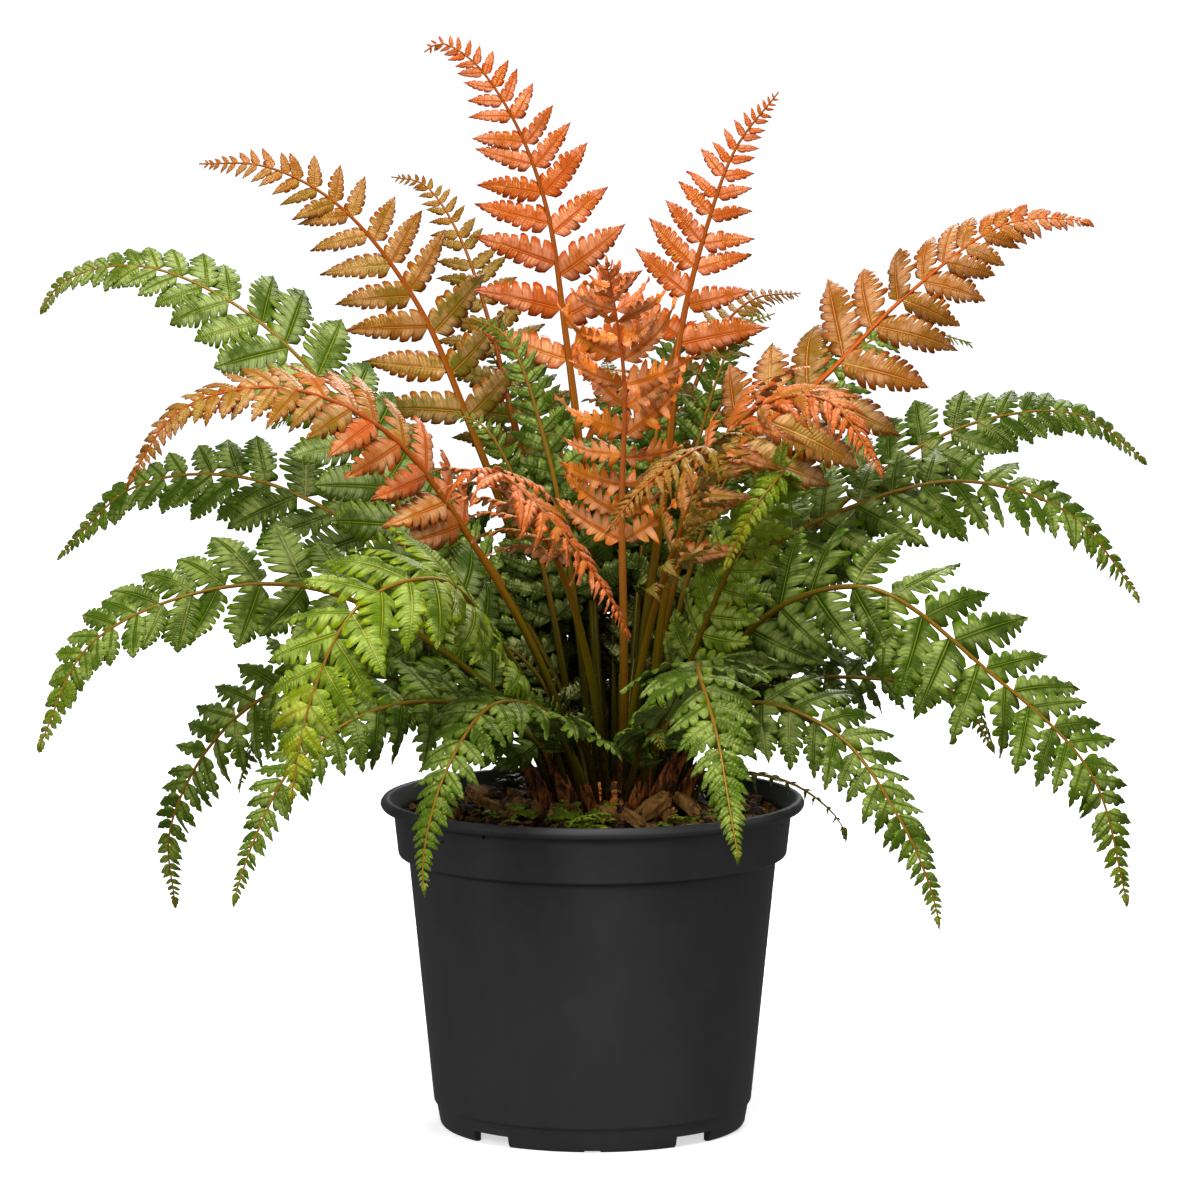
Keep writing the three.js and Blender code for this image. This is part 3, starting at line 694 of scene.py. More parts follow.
# %% How the leaflets stand on each kind of frond
# Spacing, half width, droop, hook, ripple and fold are shares of a leaflet's length. Gap and
# lobe are in millimetres, tilt, twist and sweep in degrees. A cut of 1 would reach the midrib.
# Lobes of roundness 0 are square-ended, and a crowding above 1 closes the gaps between them.
# The leaflets reach their full length the taper's distance from the frond's tip, in metres.
# Cant turns all leaflets' faces towards the frond's tip, where it is above 0.
Habit = namedtuple("Habit", "spacing gap width blunt tilt cant twist droop hook ripple cut fold "
                            "lobe sweep roundness crowding taper grid")
HABITS = {name: Habit(*numbers, GRIDS[grid]) for (name, grid), (numbers,) in rows_of("""
arching fine,   .43 1.4  .26 2.1 16  0 34 .16 .14  .05 .74 .22 5.3  2  .6 .78 .132;
plain plain,    .43 1.8  .24 2.1 16  0 34 .16 .14  .05 .66 .22 5.6  2  .6 .78 .132;
sprig plain,    .43 1.4   .3 2.1 16  0 34 .16 .14  .05 .74 .22 2.6  2  .6 .78 .008;
broad fine,      .4 1.7  .26 2.1 16  0 34 .16 .14  .05 .74 .22 5.3  4  .6 .78  .08;
spread fine,    .52 1.4  .31 3.4 11  0 18  .1  .1 .026 .74 .16 3.8  4  .4  .9 .132;
upright fine,   .49 1.4 .205   2 10  0 20 .06 .16 .022 .56 .12 3.7  0  .7   1 .132;
curled fine,    .42 1.2  .18 1.5 24  0 55  .2  .3 .075 .76  .6 3.5 12 1.1 .86   .1;
fringed fine,   .34 1.3  .22 2.1 44 22 70 .04  .4  .15 .84 .15 3.6 -4   1  .7  .06;
hooded fine,     .5 1.4  .27 2.9 14  0 30  .1 .36  .03  .7 .24 3.5  4  .4 .92 .132;
withered fine,  1.3   3  .26 1.4 40  0 60  .5  .5   .1  .6  .6   3  0   1   1 .132;
""")}
print("leaflets can be", ", ".join(HABITS))

# %% Shape and place a leaflet
MOST_LOBES = 9
BLADE_THICKNESS = 0.35 * MM
LEAFLET_VALUES = ("along", "out", "across", "lobe", "under", "stalk", "chance")
SHORTEST = 1.6 * MM
FULL_SIZE = 22 * MM  # shorter leaflets are less deeply lobed
LAST_LENGTH = 6 * MM
TIP_TURN, FULL_TURN = 50, 67  # degrees between leaflet and rachis, at the tip and far from it
TURN_REACH = 0.14
UPPER_HALF, LOWER_HALF = 1.14, 0.86  # the half that looks up the frond is wider
CUPPING, PILLOW, LOUVRE = 0.11, 0.01, 0.022  # how high the blade, each lobe and its edge stand


def leaflet_length(from_tip, longest, taper):
    return longest * min(1, from_tip / taper) + SHORTEST


def add_leaflet(heap, line, place, side, longest, root, habit, dice):
    """One leaflet at a place on the rachis, on the side given by 1 or -1, or 0 for the last one."""
    middle, along, up, across = line.frame(place)
    from_tip = line.length - place
    length = leaflet_length(from_tip, longest, habit.taper)
    length *= dice.uniform(1 - habit.tilt / 150, 1.07)
    length = length if side else LAST_LENGTH
    size = min(1, length / FULL_SIZE)
    lobes = int(np.clip(round(0.7 + length / habit.lobe / MM), 1, MOST_LOBES))
    lobe, level, swell, kept, shell = leaflet_sheet(lobes, habit.grid)
    spot = (level > 0).astype(int), lobe.astype(int)
    place_in_lobe = np.where(lobe % 1, 0.5 + (lobe % 1 - 0.5) * habit.crowding, 0)
    lobe, swell = lobe.astype(int) + place_in_lobe, swell**habit.roundness
    share = along_blade(lobe, lobes)
    notch = mixed(0.3, 1, size) * habit.cut * (1 - 0.4 * share) * np.where(level > 0, 1, 0.8)
    uneven = dice.uniform(0.84, 1.08, (2, lobes + 1))[spot]
    edge = (1 - notch * (1 - swell)) * mixed(1, uneven, swell)
    edge = edge * np.where(lobe == 0, mixed(0.8, 0.3, size), 1)
    depth = np.where(np.abs(level) == 1, edge, np.minimum(np.abs(level), 0.9 * edge))

    turn = mixed(TIP_TURN, FULL_TURN, min(1, from_tip / TURN_REACH)) - habit.sweep
    turn += dice.uniform(-0.45, 0.45) * habit.tilt
    turn = math.radians(turn) if side else 0
    outward = across * (side or 1)
    axis = along * math.cos(turn) + outward * math.sin(turn)
    forward = along * math.sin(turn) - outward * math.cos(turn)

    wide = np.sign(level) * depth * envelope(share, habit.blunt) * habit.width
    wide *= dice.uniform(0.92, 1.1) * mixed(1.06, 1, size)
    wide = wide * (np.where(level > 0, UPPER_HALF, LOWER_HALF) if side else 1)
    out = share + mixed(0.3, 0.75, share) * np.abs(wide) * (1 - share**3)
    tilt = dice.uniform(-habit.tilt, habit.tilt) - habit.cant
    tilt = np.radians(tilt + dice.uniform(-habit.twist, habit.twist) * out)[:, None]
    forward, face = (forward * np.cos(tilt) + up * np.sin(tilt),
                     up * np.cos(tilt) - forward * np.sin(tilt))
    bend = dice.uniform(-0.05, 0.13) * out**2
    fall = habit.droop * dice.uniform(0.4, 1.6) * out**2
    fall += habit.hook * dice.uniform(0.2, 1.6) * out**4
    rise = depth * (1 - 1.3 * depth) * CUPPING - habit.fold * np.abs(wide) * depth
    rise += np.sin(math.pi * place_in_lobe) * depth**0.7 * PILLOW
    rise += (0.5 - place_in_lobe) * depth * LOUVRE
    rise += dice.normal(0, habit.ripple, (2, lobes + 1))[spot] * depth**2
    rise *= 1 - 0.5 * share
    points = (middle + outward * root * bool(side)
              + np.outer(out * length, axis)
              + (wide + bend)[:, None] * length * forward
              + np.outer(-fall * length, up)
              + rise[:, None] * length * face)

    below = points[kept] - face[kept] * BLADE_THICKNESS
    if side >= 0:
        shell = [corners[::-1] for corners in shell]
    columns = {"out": share, "across": depth, "lobe": lobe}
    columns = {name: np.concatenate([column, column[kept]]) for name, column in columns.items()}
    heap.add(np.vstack([points, below]), shell, along=place / line.length, chance=dice.random(),
             under=np.repeat([0.0, 1.0], [len(points), len(kept)]), **columns)


print("the last leaflets are", round(leaflet_length(0, 0, 1) / MM, 1), "mm long, before chance")

# %% [markdown]
# # Stalk and rachis
#
# The stalk is thick and rounded where it leaves the crown, with a shallow groove on the side
# that faces up. It thins all the way and ends in a hair-fine tip. Brown scales cling to its
# lowest part.

# %% Draw the stalk out along the line
STALK_SIDES = 10
STALK_RING = 5 * MM
FOOT_SWELLING = 0.2
FOOT_LENGTH = 0.045
FULL_REACH = 36 * MM  # fronds with shorter leaflets have thinner stalks
FOOT_GIRTH = np.array([2.5, 2.3])  # half the width and half the depth, in millimetres
LEAFLET_GIRTH = np.array([1.75, 1.6])  # where the leaflets begin
TIP_GIRTH = 0.36


def girth(place, start, length, longest):
    """Half the width and half the depth of the stalk or rachis at a place."""
    build = mixed(0.55, 1, min(1, longest / FULL_REACH)) * MM
    if place < start:
        swell = 1 + FOOT_SWELLING * max(0, 1 - place / FOOT_LENGTH) ** 1.5
        return mixed(FOOT_GIRTH, LEAFLET_GIRTH, place / start) * build * swell
    share = ((place - start) / (length - start)) ** 0.85
    return mixed(LEAFLET_GIRTH, TIP_GIRTH, share) * build


def add_stalk(heap, line, start, longest):
    places = np.linspace(0, line.length, int(line.length / STALK_RING))
    turns = np.arange(STALK_SIDES) * 2 * math.pi / STALK_SIDES
    groove = 1 - 0.25 * np.clip(np.sin(turns), 0, 1) ** 8
    points = []
    for place in places:
        middle, _, up, across = line.frame(place)
        half, deep = girth(place, start, line.length, longest)
        points.append(middle + np.outer(np.cos(turns) * half, across)
                      + np.outer(np.sin(turns) * groove * deep, up))
    faces = [face[::-1] for face in ring_faces(len(places), STALK_SIDES)]
    last = (len(places) - 1) * STALK_SIDES
    faces.append(tuple(range(STALK_SIDES)))
    faces.append(tuple(last + i for i in reversed(range(STALK_SIDES))))
    heap.add(np.vstack(points), faces, stalk=1.0, lobe=0.25, across=0.5,
             along=np.repeat(places / line.length, STALK_SIDES))


# %% Set the leaflets on it, from the tip down
BARE_TIP = 4 * MM
END_LEAFLET = 4 * MM  # the last leaflet points on from the rachis, this far from its tip
LOWEST_SHARES = {"orange": 1.0, "salmon": 0.86, "copper": 0.92, "bronze": 0.92}
LOWEST_SHARE = 0.5


def add_leaflets(heap, line, start, longest, habit, dice):
    from_tip = BARE_TIP
    while line.length - from_tip > start:
        place = line.length - from_tip
        step = habit.gap * MM + habit.spacing * leaflet_length(from_tip, longest, habit.taper)
        half, _ = girth(place, start, line.length, longest)
        for side in (1, -1):
            shift = side * dice.uniform(-0.1, 0.18) * step
            spot = min(max(place + shift, start), line.length - 2.5 * MM)
            add_leaflet(heap, line, spot, side, longest, half * 0.6, habit, dice)
        from_tip += step


def frond_heap(frond, number):
    line, longest, habit = lines[frond.name], frond.longest * MM, HABITS[frond.habit]
    start = frond.bare * LOWEST_SHARES.get(frond.leaf, LOWEST_SHARE) * line.length
    heap = Heap(*LEAFLET_VALUES)
    dice = np.random.default_rng(100 + number)
    add_stalk(heap, line, start, longest)
    add_leaflets(heap, line, start, longest, habit, dice)
    if frond.habit != "upright":
        add_leaflet(heap, line, line.length - END_LEAFLET, 0, longest, 0, habit, dice)
    return heap


print("rule for fronds ready")

# %% [markdown]
# # The colours of a frond
#
# A leaflet isn't one colour. Its middle gets a painted sheen, ribbed by fine veins. Furrows between
# lobes get painted shade, and the margin is the most strongly coloured part. The midrib is a pale
# line in a groove darkened with painted shade. Young fronds are orange all over, older ones stay
# copper only towards the tip. The finish reads where each point is: along the frond, out along the
# leaflet, and which lobe it is in. Leaves deep inside the plant get painted shade that makes them
# far darker.

# %% Tell how deep inside the plant a point is
# Where the painted shade inside the plant sits, in metres: its centre and its half sizes.
PAINTED_SHADE_CENTRE = (0.01, 0.03, 0.17)
PAINTED_SHADE_SIZE = (0.14, 0.095, 0.125)


def outside_painted_shade(finish):
    """0 in the middle of the plant, where leaves get the full painted shade, 1 outside it."""
    shrink = tuple(1 / size for size in PAINTED_SHADE_SIZE)
    shift = tuple(-centre / size for centre, size in zip(PAINTED_SHADE_CENTRE, PAINTED_SHADE_SIZE))
    values = {"Vector": finish.place(), "Location": shift, "Scale": shrink}
    offset = finish.node("ShaderNodeMapping", None, **values)
    distance = finish.node("ShaderNodeVectorMath", {"operation": "LENGTH"}, offset, output=1)
    return distance.rising(0.3, 1.05)


# %% Paint leaves
WAX_TINT = (1, 0.96, 0.28, 1)  # the wax on a leaf shines in the leaf's own hue
CHAFF_AND_SHADE_COLOUR = colour(40, 20, 6)
PAINTED_SHADE_COLOUR = colour(9, 14, 2)


def leaf_finish(name, inner, outer, tip, edge, furrow_shade, pale, rib, stalk_low, stalk_high):
    leaf = Finish(name, roughness=0.3, specular=0.26)
    leaf.shader.inputs["Specular Tint"].default_value = WAX_TINT
    values = {value: leaf.attribute(value) for value in LEAFLET_VALUES}
    along, across, lobe = values["along"], values["across"], values["lobe"]
    patches = leaf.noise(70, detail=4, roughness=0.6)
    speckle = leaf.noise(420, detail=3)
    crest = 1 - abs(lobe.fraction() * 2 - 1)
    vein = 1 - abs((lobe * 3 + across * 0.7).fraction() * 2 - 1)
    beside_rib = across.rising(0.05, 0.2)

    age = along + (patches - 0.5) * 0.5 + (values["chance"] - 0.5) * 0.36
    blade = leaf.blend(age.rising(0.35, 0.8), inner, outer)
    blade = leaf.blend((age * 0.4 + along * 0.6).rising(0.82, 1), blade, tip)
    margin = (across + (speckle - 0.5) * 0.3).rising(0.42, 0.88)
    blade = leaf.blend(margin * 0.85, blade, edge)
    # Painted sheen: beside the midrib, each lobe's middle is blended in patches towards the pale
    # colour, ribbed by the veins, where a glossy leaf would catch the light. The same pale colour
    # also makes the underside paler, further down.
    painted_sheen_zone = beside_rib * (1 - across.rising(0.5, 0.95)) * (crest * 0.35 + 0.65)
    painted_sheen = painted_sheen_zone * (patches.rising(0.42, 0.6) * 0.86 + 0.14) * (vein * 0.4 + 0.6)
    blade = leaf.blend(painted_sheen * 0.68, blade, pale)
    # Painted shade: the notches between lobes and the groove along the midrib are blended towards
    # the dark furrow colour.
    hollow = (1 - crest.rising(0.0, 0.3)) * beside_rib * across.rising(0.1, 0.6)
    blade = leaf.blend(hollow * 0.55, blade, furrow_shade)
    rib_groove_shade = (1 - across.rising(0.04, 0.11)) * 0.6
    blade = leaf.blend(rib_groove_shade, blade, furrow_shade)
    midrib = 1 - across.rising(0.015, 0.04)
    blade = leaf.blend(midrib * 0.9, blade, rib)
    blade = leaf.blend(values["under"] * 0.3, blade, pale)
    stalk = leaf.blend(along.rising(0.15, 0.7), stalk_low, stalk_high)
    # The stalk's foot is blended to near-black brown: partly its chaffy scales, partly painted
    # shade where the crown and leaves keep the light off.
    chaff_and_shade = (1 - along.rising(0.05, 0.24)) * (speckle.rising(0.4, 0.6) * 0.35 + 0.55)
    stalk = leaf.blend(chaff_and_shade, stalk, CHAFF_AND_SHADE_COLOUR)
    blade = leaf.blend(values["stalk"], blade, stalk)
    # Painted shade: deep inside the plant, leaves are blended towards near-black green, and stalks
    # a little less.
    painted_shade = (1 - outside_painted_shade(leaf)) * (0.88 - values["stalk"] * 0.14)
    blade = leaf.blend(painted_shade, blade, PAINTED_SHADE_COLOUR)

    rough = 0.16 + patches * 0.2 + values["under"] * 0.3
    ribbed = vein * 0.3 * beside_rib * (1 - values["stalk"])
    return leaf.paint(blade, rough, speckle * 0.25 + patches * 0.5 + ribbed, 0.4 * MM)


# Each row: a leaf's blade towards the foot of the frond, towards its tip and at the tip, then its
# margin, the painted shade of its furrows, the pale colour of its painted sheen and of its
# underside, its midrib, and the stalk at its foot and tip.
LEAVES = {}
for (name,), colours in rows_of("""
orange, 164 80 1, 178 72 2, 190 70 5, 164 56 1, 110 32 1, 236 162 124, 206 110 58, 96 86 8,
  146 66 14;
ember, 204 110 5, 216 110 14, 238 120 60, 208 92 3, 142 56 1, 250 186 144, 224 130 62, 150 104 12,
  214 112 54;
salmon, 126 102 4, 180 82 16, 192 90 24, 172 68 6, 110 42 2, 236 162 122, 204 112 56, 96 86 8,
  146 66 14;
blushing, 186 82 28, 132 100 6, 118 88 4, 148 64 4, 88 42 1, 222 164 124, 204 100 52, 96 86 8,
  166 70 20;
copper, 94 86 2, 138 80 3, 158 74 4, 140 68 1, 78 42 1, 202 152 104, 184 110 52, 96 86 8,
  146 66 14;
bronze, 64 82 2, 118 78 3, 146 74 5, 126 70 1, 62 40 1, 176 144 80, 166 104 46, 96 86 8, 146 66 14;
green, 34 62 1, 54 84 2, 100 122 5, 80 110 1, 16 32 1, 172 188 98, 110 126 30, 84 76 6, 132 96 26;
russet, 118 84 2, 150 80 3, 186 76 14, 142 64 1, 84 42 1, 216 162 120, 206 124 72, 112 82 8,
  190 84 30;
fresh, 42 70 1, 68 92 1, 98 112 3, 84 106 1, 24 42 1, 184 198 126, 116 128 30, 84 76 6, 132 96 26;
dark, 22 44 1, 42 70 1, 84 108 4, 64 94 1, 10 22 1, 154 170 88, 96 112 24, 84 76 6, 132 96 26;
lime, 56 84 1, 90 118 2, 154 150 6, 128 146 2, 34 56 1, 182 198 96, 160 152 50, 84 76 6, 132 96 26;
"""):
    LEAVES[name] = leaf_finish(f"{name}_leaf", *(colour(*shade) for shade in colours))
# The middle tall frond gets a brighter copy of the orange finish: painted light, as its leaflets
# face down, away from the lamps.
LEAF_OF = {  # fronds that are coloured otherwise than the rest of their kind
    "tall_middle": "ember", "salmon_left": "blushing", "copper_right": "russet",
    "green_high_left": "fresh",
}
print(len(LEAVES), "leaf finishes")

# %% Grow the fronds
triangles = 0
for number, frond in enumerate(FRONDS):
    finish, heap = LEAVES[LEAF_OF.get(frond.name, frond.leaf)], frond_heap(frond, number)
    heap.piece(f"fine_{frond.name}", finish, f"{frond.leaf}_frond", f"frond_{frond.name}")
    triangles += sum(len(face) - 2 for face in heap.faces)
print(len(FRONDS), "fronds of", triangles, "triangles in all")

# %% [markdown]
# # Young fronds between the stalks
#
# Small fronds fill the dark middle of the plant, between the stalks of the big ones. There are
# too many of them, and they are too small, to lay out by hand. So a rule draws each one: it
# leaves the crown at its own angle, rises, and arches out. Those at the back grow highest, since
# they reach for the light.

# %% Grow the small fronds
SMALL_ONES = 12
SMALL_MARKS = ((0, 0), (0.12, 0.4), (0.45, 0.85), (0.8, 1), (1, 0.9))  # shares of span and rise
NEXT_LEAF = 2.4  # about the angle between one leaf and the next on a crown, in radians
STALK_FEET = 139  # how high the small fronds leave the crown


def rule_route(foot, way, span, rise, marks):
    return [(*(foot + way * span * out), STALK_FEET + rise * up) for out, up in marks]


def small_line(number, dice):
    azimuth = number * NEXT_LEAF + dice.uniform(-0.3, 0.3)
    way = np.array([math.cos(azimuth), math.sin(azimuth)])
    back = max(0, way[1])
    span = dice.uniform(40, 85) + 25 * back
    rise = dice.uniform(40, 95) + dice.uniform(50, 110) * back
    route = rule_route((10, -4) + way * dice.uniform(8, 22), way, span, rise, SMALL_MARKS)
    return FrondLine(route, (0, -0.8, 0.6), (way[0] * 0.5, way[1] * 0.3 - 0.8, 0.6))


def grow_small(name, lines, longest, bare, dice):
    """One piece of all fronds on some lines. Longest is (least, most) for their leaflets."""
    heap = Heap(*LEAFLET_VALUES)
    for line in lines:
        size = dice.uniform(*longest) * MM
        add_stalk(heap, line, bare * line.length, size)
        add_leaflets(heap, line, bare * line.length, size, HABITS["plain"], dice)
    heap.piece(name, LEAVES["dark"], "dark_frond")
    print(name, "of", len(heap.faces), "faces")


dice = np.random.default_rng(77)
small_lines = [small_line(number, dice) for number in range(SMALL_ONES)]
grow_small("small_inner_fronds", small_lines, (18, 26), 0.3, dice)

# %% Grow the ones behind the stalks
TALL_ONES = 17
TALL_MARKS = ((0, 0), (0.1, 0.35), (0.38, 0.75), (0.72, 0.97), (1, 1))
TALL_FROM, TALL_SWEEP = 14, 152  # degrees from the right-hand side, round the back
STOREYS, STOREY_RISE = 3, 44  # they end at three heights in turn


def tall_line(number, dice):
    turn = TALL_FROM + TALL_SWEEP * (number + 0.5) / TALL_ONES + dice.uniform(-5, 5)
    way = np.array([math.cos(math.radians(turn)), math.sin(math.radians(turn))])
    span = dice.uniform(60, 105)
    rise = 120 + STOREY_RISE * (number % STOREYS) + dice.uniform(-14, 14)
    route = rule_route((11, 2) + way * dice.uniform(8, 20), way, span, rise, TALL_MARKS)
    return FrondLine(route, (0, -0.9, 0.5), (way[0] * 0.3, -0.9, 0.5))


tall_lines = [tall_line(number, dice) for number in range(TALL_ONES)]
grow_small("tall_inner_fronds", tall_lines, (26, 33), 0.4, dice)

# %% [markdown]
# # The potting mix
#
# The mix is dark, loose and full of bark. Its body is a turned block that fits the pot, with a
# top of many rings, so that the Displace modifier can make it lumpy. Bark chips, crumbs and
# fibres lie on top as their own pieces.

# %% Turn the mix and roughen its top
SOIL_RADIUS, SOIL_EDGE = 86.2, 139
SOIL_SIDE = [(67.5, 7.8), (79.8, 119.9), (84.4, 124.8), (SOIL_RADIUS, SOIL_EDGE)]
SOIL_RINGS = 40
SOIL_RISE = 5.0
LUMPY_RADIUS, LUMPY_ABOVE = 0.0855, 0.1385


def soil_height(radius):
    """How high the smooth mix stands at a distance from the axis, both in millimetres."""
    return SOIL_EDGE + SOIL_RISE * (1 - radius / SOIL_RADIUS) ** 0.8


radii = [SOIL_RADIUS * (1 - ring / SOIL_RINGS) for ring in range(1, SOIL_RINGS)]
mix = turned("potting_mix", SOIL_SIDE + [(radius, soil_height(radius)) for radius in radii], 144)
lumpy = mix.vertex_groups.new(name="top")
lumpy.add([point.index for point in mix.data.vertices if point.co.z > LUMPY_ABOVE
           and point.co.to_2d().length < LUMPY_RADIUS], 1.0, "REPLACE")
for name, size, strength in (("lumps", 0.012, 0.0035), ("grains", 0.004, 0.0022)):
    pattern = bpy.data.textures.new(name, "CLOUDS")
    pattern.noise_scale = size
    apply_modifier(mix, name, "DISPLACE", texture=pattern, strength=strength, mid_level=0.6,
                   direction="Z", vertex_group="top", texture_coords="LOCAL")
bpy.ops.object.shade_smooth()
print("mix of", len(mix.data.polygons), "faces")

# %% Paint the mix
loam = Finish("dark_loam", roughness=0.9, specular=0.25)
clods = loam.noise(160, detail=6, roughness=0.7)
threads = loam.noise(240, detail=4, stretch=(1, 0.25, 1))
loam_colour = loam.blend(clods.rising(0.35, 0.7), colour(14, 7, 3), colour(58, 32, 14))
loam_colour = loam.blend(threads.rising(0.6, 0.75) * 0.6, loam_colour, colour(104, 66, 26))
dress(mix, loam.paint(loam_colour, 0.8 + clods * 0.2, clods, 1.5 * MM), "potting_mix", "soil")
print("mix painted")

# %% [markdown]
# # Bark, crumbs and fibres
#
# One chip of bark is modelled: a block, cut finer, narrowed towards its ends and pushed out of
# true. Each copy gets its own size, turn and tone, and lies on the mix. The same chip, stretched,
# makes the long fibres.

# %% Model one chip and scatter copies
def chip_shape(seed, cuts):
    """A small rough block of bark, one unit long: its points and faces."""
    bpy.ops.mesh.primitive_cube_add(size=1)
    chip = bpy.context.object
    bpy.ops.object.mode_set(mode="EDIT")
    bpy.ops.mesh.select_all(action="SELECT")
    bpy.ops.mesh.subdivide(number_cuts=cuts)
    bpy.ops.transform.vertex_random(offset=0.16, uniform=0.3, seed=seed)
    bpy.ops.object.mode_set(mode="OBJECT")
    points = np.array([point.co for point in chip.data.vertices])
    points[:, 1:] *= (1 - 0.9 * np.abs(points[:, :1]) ** 2)
    faces = [tuple(face.vertices) for face in chip.data.polygons]
    bpy.data.objects.remove(chip)
    return points, faces


def spin(yaw, pitch, roll):
    """A matrix that turns points about the three axes."""
    turns = []
    for angle, (i, j) in zip((roll, pitch, yaw), ((1, 2), (2, 0), (0, 1))):
        turn = np.eye(3)
        turn[i, i] = turn[j, j] = math.cos(angle)
        turn[i, j], turn[j, i] = -math.sin(angle), math.sin(angle)
        turns.append(turn)
    return turns[2] @ turns[1] @ turns[0]


def scatter(heap, shapes, count, sizes, dice, inner=0.0, outer=83.0, tip=0.5, lift=0.3):
    """Copies of a shape laid at random on the mix. Sizes are (least, most) for each side."""
    for _ in range(count):
        radius = math.sqrt(dice.uniform(inner**2, outer**2))
        azimuth = dice.uniform(0, 2 * math.pi)
        size = np.array([dice.uniform(*side) for side in sizes])
        points, faces = shapes[dice.integers(len(shapes))]
        turn = spin(dice.uniform(0, 2 * math.pi), dice.normal(0, tip), dice.normal(0, tip))
        place = (radius * math.cos(azimuth), radius * math.sin(azimuth),
                 soil_height(radius) + size[2] * lift + 0.4)
        heap.add(((points * size) @ turn.T + place) * MM, faces, tone=dice.random() ** 1.6)


chips = [chip_shape(seed, cuts=2) for seed in range(5)]
crumbs = [chip_shape(seed, cuts=1) for seed in range(10, 15)]
lumps = [chip_shape(seed, cuts=4) for seed in range(20, 23)]
bark = Heap("tone")
dice = np.random.default_rng(21)
scatter(bark, chips, 150, ((6, 15), (3, 7), (1.2, 3)), dice, inner=14, tip=0.35)
scatter(bark, crumbs, 520, ((2.5, 6), (1.5, 3.5), (1, 2.4)), dice, tip=0.8)
scatter(bark, crumbs, 240, ((8, 20), (0.6, 1.2), (0.5, 1.1)), dice, inner=10, tip=0.25, lift=1)
# Twelve big lumps of bark are placed one by one: where each lies, its size, its yaw and its pitch.
for _, (place, size, (yaw, pitch)) in rows_of("""
, 27 -44 150, 16 7 6, .5 -.5; , -12 -46 148, 11 5 4, 2.4 .6; , 42 -30 149, 13 6 5, -.6 .6;
, 8 -50 147, 10 5 4, .2 .5; , -34 -34 147, 13 6 4, 1.2 -.5; , 56 -14 146, 12 6 4, 2 .3;
, -46 -12 146, 11 6 4, .3 .5; , 18 -58 147, 10 5 4, 2.8 -.6; , 34 -50 147, 9 4 4, 1.9 .7;
, -24 -40 148, 9 4 4, .9 .8; , 62 14 146, 12 6 4, 1 .3; , -52 24 146, 11 6 4, 2.2 -.3;
"""):
    points, faces = lumps[dice.integers(len(lumps))]
    lump = (points * size) @ spin(yaw, pitch, dice.normal(0, 0.4)).T
    bark.add((lump + place) * MM, faces, tone=dice.uniform(0.6, 1))
print(len(bark.faces), "faces of bark")

# %% Paint the bark
bark_paint = Finish("rough_bark", roughness=0.85, specular=0.3)
tone = bark_paint.attribute("tone")
streaks = bark_paint.noise(300, detail=5, roughness=0.65, stretch=(1, 1, 0.4))
bark_colour = bark_paint.blend(tone.rising(0.1, 1), colour(26, 13, 5), colour(158, 112, 52))
bark_colour = bark_paint.blend(streaks.rising(0.42, 0.66) * 0.75, bark_colour, colour(40, 20, 7))
bark_material = bark_paint.paint(bark_colour, 0.7 + streaks * 0.25, streaks, 0.6 * MM)
bark.piece("bark_chips", bark_material, "potting_mix", smooth_below=35)
print("bark laid")

# %% [markdown]
# # The crown
#
# The fronds rise from a stubby rootstock. It is clad in chaffy orange-brown scales, and broken
# bases of old stalks stick out of it. Its body is turned like the pot and then displaced. The
# stubs are cones with torn tops, and the scales are thin slips that all point upwards.

# %% Turn the crown
CROWN_PLACE = Vector((0.011, -0.005, 0))
CROWN_ROWS = [(10, 114), (22, 126), (31, 139), (30.5, 144), (28, 149), (23, 152), (15, 153),
              (6, 153.5)]

crown = turned("rootstock_crown", CROWN_ROWS, 48)
apply_modifier(crown, "finer", "SUBSURF", levels=1, render_levels=1)
for point in crown.data.vertices:
    point.co += CROWN_PLACE
pattern = bpy.data.textures.new("crown lumps", "CLOUDS")
pattern.noise_scale = 0.008
apply_modifier(crown, "lumps", "DISPLACE", texture=pattern, strength=0.006, mid_level=0.55,
               texture_coords="LOCAL")
bpy.ops.object.shade_smooth()

root_paint = Finish("rootstock_fibre", roughness=0.8, specular=0.3)
ridges = root_paint.noise(420, detail=5, roughness=0.7, stretch=(1, 1, 0.18))
tufts = root_paint.noise(120, detail=4)
root_colour = root_paint.blend(ridges.rising(0.4, 0.62), colour(34, 14, 3), colour(176, 100, 30))
root_colour = root_paint.blend(tufts.rising(0.5, 0.66) * 0.8, root_colour, colour(26, 11, 2))
root_material = root_paint.paint(root_colour, 0.75 + ridges * 0.2, ridges + tufts, 1.2 * MM)
dress(crown, root_material, "rootstock", "crown")
print("crown of", len(crown.data.polygons), "faces")

# %% Add the stubs of old stalks
STUBS = (  # foot x, foot y, lean in x, lean in y, length, width, all in millimetres
    (26, -24, 14, -8, 38, 11), (36, -14, 13, -4, 30, 10), (-8, -24, -12, -8, 38, 9),
    (-18, -10, -13, -4, 30, 9), (0, -30, -3, -8, 22, 8), (17, -31, 5, -9, 24, 9),
    (-14, 10, -10, 6, 26, 9), (34, 12, 12, 8, 24, 9), (10, 26, 1, 10, 22, 9),
    (22, -27, 2, -9, 32, 7),
)
STUB_SIDES = 14
STUB_RINGS = 9
STUB_FOOT = 137


